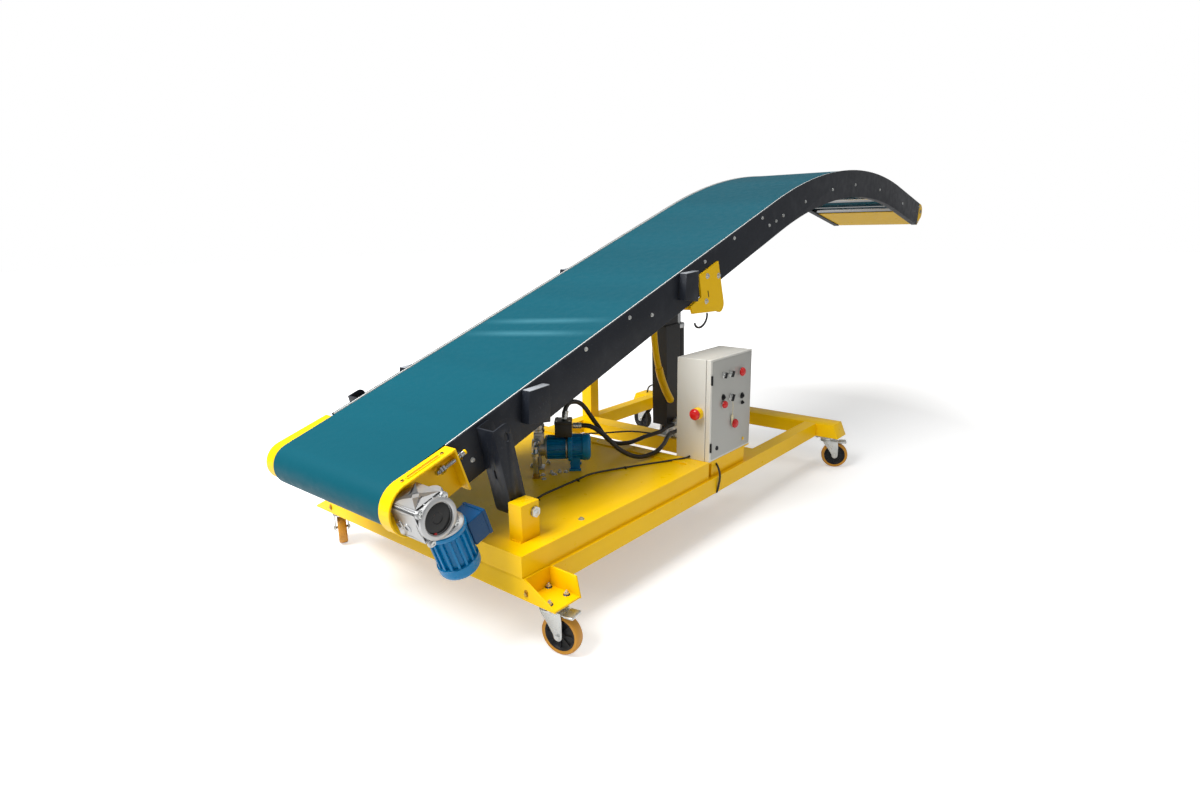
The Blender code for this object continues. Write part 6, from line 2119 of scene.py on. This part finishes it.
    def wheel_parts(self, name: str, frame: Matrix, tread_finish: Finish) -> None:
        """Turn the wheel's black core and its tread.

        Args:
            name: The castor's name.
            frame: The axle's frame, the axle along Y.
            tread_finish: The tread's finish.
        """
        body = "wheel_" + name
        half, rim = self.half_width, self.rim
        about = frame @ spun("X", -90)
        loop = [(0.0066, -half), (0.0135, -half), (0.015, -half * 0.9), (0.0165, -half * 0.52),
                (rim - 0.013, -half * 0.42), (rim - 0.009, -half * 0.5), (rim - 0.0045, -half * 0.86),
                (rim - 0.0004, -half * 0.88)]
        core = turned(loop + [(radius, -height) for radius, height in loop[::-1]], 40)
        ribs = copied(slab((0.0145, -0.0017, -half * 0.72), (rim - 0.006, 0.0017, half * 0.72), 0.0008), around(8))
        core = dressed(moved(joined(core, ribs), about), "wheel_core_" + name, body, Paints.CORE)
        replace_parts(core, "castor_core_" + name)
        loop = [(rim, -half * 0.86), (rim + 0.004, -half * 0.95), (self.wheel - 0.005, -half),
                (self.wheel - 0.0018, -half * 0.84), (self.wheel - 0.0002, -half * 0.5), (self.wheel, 0)]
        tyre = hoop(loop + [(radius, -height) for radius, height in loop[:-1][::-1]], 44)
        tyre = dressed(moved(tyre, about), "wheel_tread_" + name, body, tread_finish, 50)
        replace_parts(tyre, "castor_tyre_" + name)


@dataclass
class LiftParts:
    """Bolts, painted slot shades, cable loop, collar and gland at the lift and its bracket under the boom.

    Attributes:
        foot: The lift's foot pin.
        lean: How far the lift leans towards the rear.
        plate_face: The bracket plate's outer face.
        bracket_bolts: The bracket's bolts, along and under the belt line.
    """

    foot: Point = (1.41, -0.03, 0.2693)
    lean: float = -0.0277
    plate_face: float = 0.3073
    bracket_bolts: tuple[Flat, ...] = flat_mm(1300, 85, 1384, 118, 1262, 180)

    def build(self) -> None:
        """Dress the lift and its bracket."""
        heads = []
        for along, depth in self.bracket_bolts:
            x, z = PATH.flat(along, depth)
            for side in (NEAR, FAR):
                heads.append(facing(x, side * self.plate_face, z, side))
        heads = copied(hex_bolt(0.0085, 0.0062, 0.012), heads)
        slots = []
        for side in (NEAR, FAR):
            x, z = PATH.flat(1.286, 0.158)
            # Dark oblong on the bracket plate: painted shade of its slot.
            slot = plate([oblong(0.03, 0.006)], 0.0006)
            slots.append(moved(slot, facing(x, side * (self.plate_face - 0.0001), z, side) @ spun("Z", 90)))
        dressed(heads, "lift_bracket_bolts", "boom", Paints.ZINC)
        dressed(joined(*slots), "lift_bracket_slot_shade", "boom", Paints.SLOT_SHADE_DARK)
        x, z = PATH.flat(1.36, PATH.belt_line - 0.04)
        hanging = arc((x - 0.152, z + 0.006), (0.05, 0.036), 180, 360, 12)
        loop = [PATH.frame() @ Vector((u, -0.304, w)) for u, w in hanging]
        dressed(swept(loop, 0.0046, 10), "lift_bracket_loop", "boom", Paints.RUBBER)
        frame = Matrix.Translation(at_base(*self.foot)) @ Matrix.Rotation(self.lean, 4, "Y")
        collar = plate([rounded(0.1085, 0.0785, 0.004), rounded(0.094, 0.064, 0.003)], 0.006, 0.001)
        dressed(moved(collar, frame @ shift(0, 0, 0.4779)), "lift_tube_collar", "lift_barrel",
                Paints.BLACK_PAINT)
        gland = moved(turned(flat_mm(34, 0, 35, 2, 35, 18, 32, 22, 20.5, 22, 19.5, 18), 32),
                      frame @ shift(0.09, 0, 0.456))
        dressed(gland, "lift_cylinder_gland", "lift_barrel", Paints.STEEL)
        base = [on_base(self.foot[0], self.foot[1], 0.2353) @ corner for corner in corners(0.03, 0.04)]
        dressed(copied(hex_bolt(0.0072, 0.0052, 0.01), base), "lift_foot_bolts", "chassis", Paints.ZINC)


@dataclass
class SmallParts:
    """The conduit's sleeve, the head's screws and the head shaft's caps.

    Attributes:
        conduit: The lower end of the conduit, in the boom's frame.
    """

    conduit: tuple[Point, ...] = route_mm(1125.5, -100, -170, 1128, -100, -220, 1140, -100, -290, 1160, -100, -354)

    def build(self) -> None:
        """Build the small parts."""
        points = [PATH.frame() @ Vector(point) for point in self.conduit]
        sleeve = swept(smooth_route(points, 0.02), 0.0172, 16)
        dressed(sleeve, "conduit_sleeve", "boom", Paints.YELLOW, 60)
        screws = []
        for side in (NEAR, FAR):
            for along, depth in ((-0.016, 0.022), (-0.016, 0.126), (0.016, 0.052)):
                x, z = PATH.flat(PATH.head_at + along - 0.004, depth)
                screws.append(facing(x, side * PATH.outer, z, side))
        dressed(copied(hex_bolt(0.0052, 0.0036, 0.0072), screws), "head_screws", "boom", Paints.ZINC)
        x, z = PATH.flat(PATH.head_at, 0.0501)
        caps = [facing(x, side * (PATH.outer + 0.0058), z, side) for side in (NEAR, FAR)]
        dressed(copied(turned(flat_mm(12, -1, 12, 1.2, 10, 2.2, 4, 2.2), 24), caps),
                "head_shaft_caps", "boom", Paints.STEEL)


def main() -> None:
    """Build each sub-assembly in order and report it."""
    logging.basicConfig(level=logging.INFO, format="%(name)s %(message)s")
    yellow = ["front_crossbeam", "rear_crossbeam", "near_side_tube", "far_side_tube", "deck_frame", "deck_plate",
              "lift_cross_member", "rest_post", "pivot_block_near", "pivot_block_far", "cabinet_stand",
              "tail_bracket_near", "tail_bracket_far", "head_guard", "lift_crosshead", "boom_conduit"]
    castors = ("front_near", "front_far", "rear_near", "rear_far")
    repaint(yellow, Paints.YELLOW)
    repaint(["side_frame_near", "side_frame_far", "slider_bed", "pivot_leg_near", "pivot_leg_far"], Paints.ANTHRACITE)
    repaint(["lift_outer_tube", "lift_cylinder", "lift_head", "lift_inner_tube"], Paints.BLACK_PAINT)
    repaint(["drive_motor", "hydraulic_motor"], Paints.MOTOR_BLUE)
    repaint(["gearbox", "hydraulic_pump"], Paints.CAST_METAL)
    repaint(["lift_foot", "pivot_pin_near", "pivot_pin_far"], Paints.ZINC)
    repaint(["castor_plate_" + name for name in castors] + ["castor_fork_" + name for name in castors], Paints.ZINC)
    repaint(["castor_core_" + name for name in castors], Paints.CORE)
    repaint(["castor_tyre_" + name for name in castors], Paints.AMBER)
    repaint(["return_rollers", "tail_drum", "head_roller", "lift_rod"], Paints.STEEL)
    repaint(["cabinet_body"], Paints.CABINET)
    repaint(["cabinet_door"], Paints.DOOR)
    repaint(["emergency_stop"], Paints.RED)
    for part in (Stage(), Hoses(), Belt(), SideFrames(), TailBrackets(), Drive(), Pivots(), Cabinet(),
                 Crossbeams(), DeckParts(), PowerUnit(), Castors(), LiftParts(), SmallParts()):
        log.info("building %s", type(part).__name__)
        part.build()


if __name__ == "__main__":
    main()
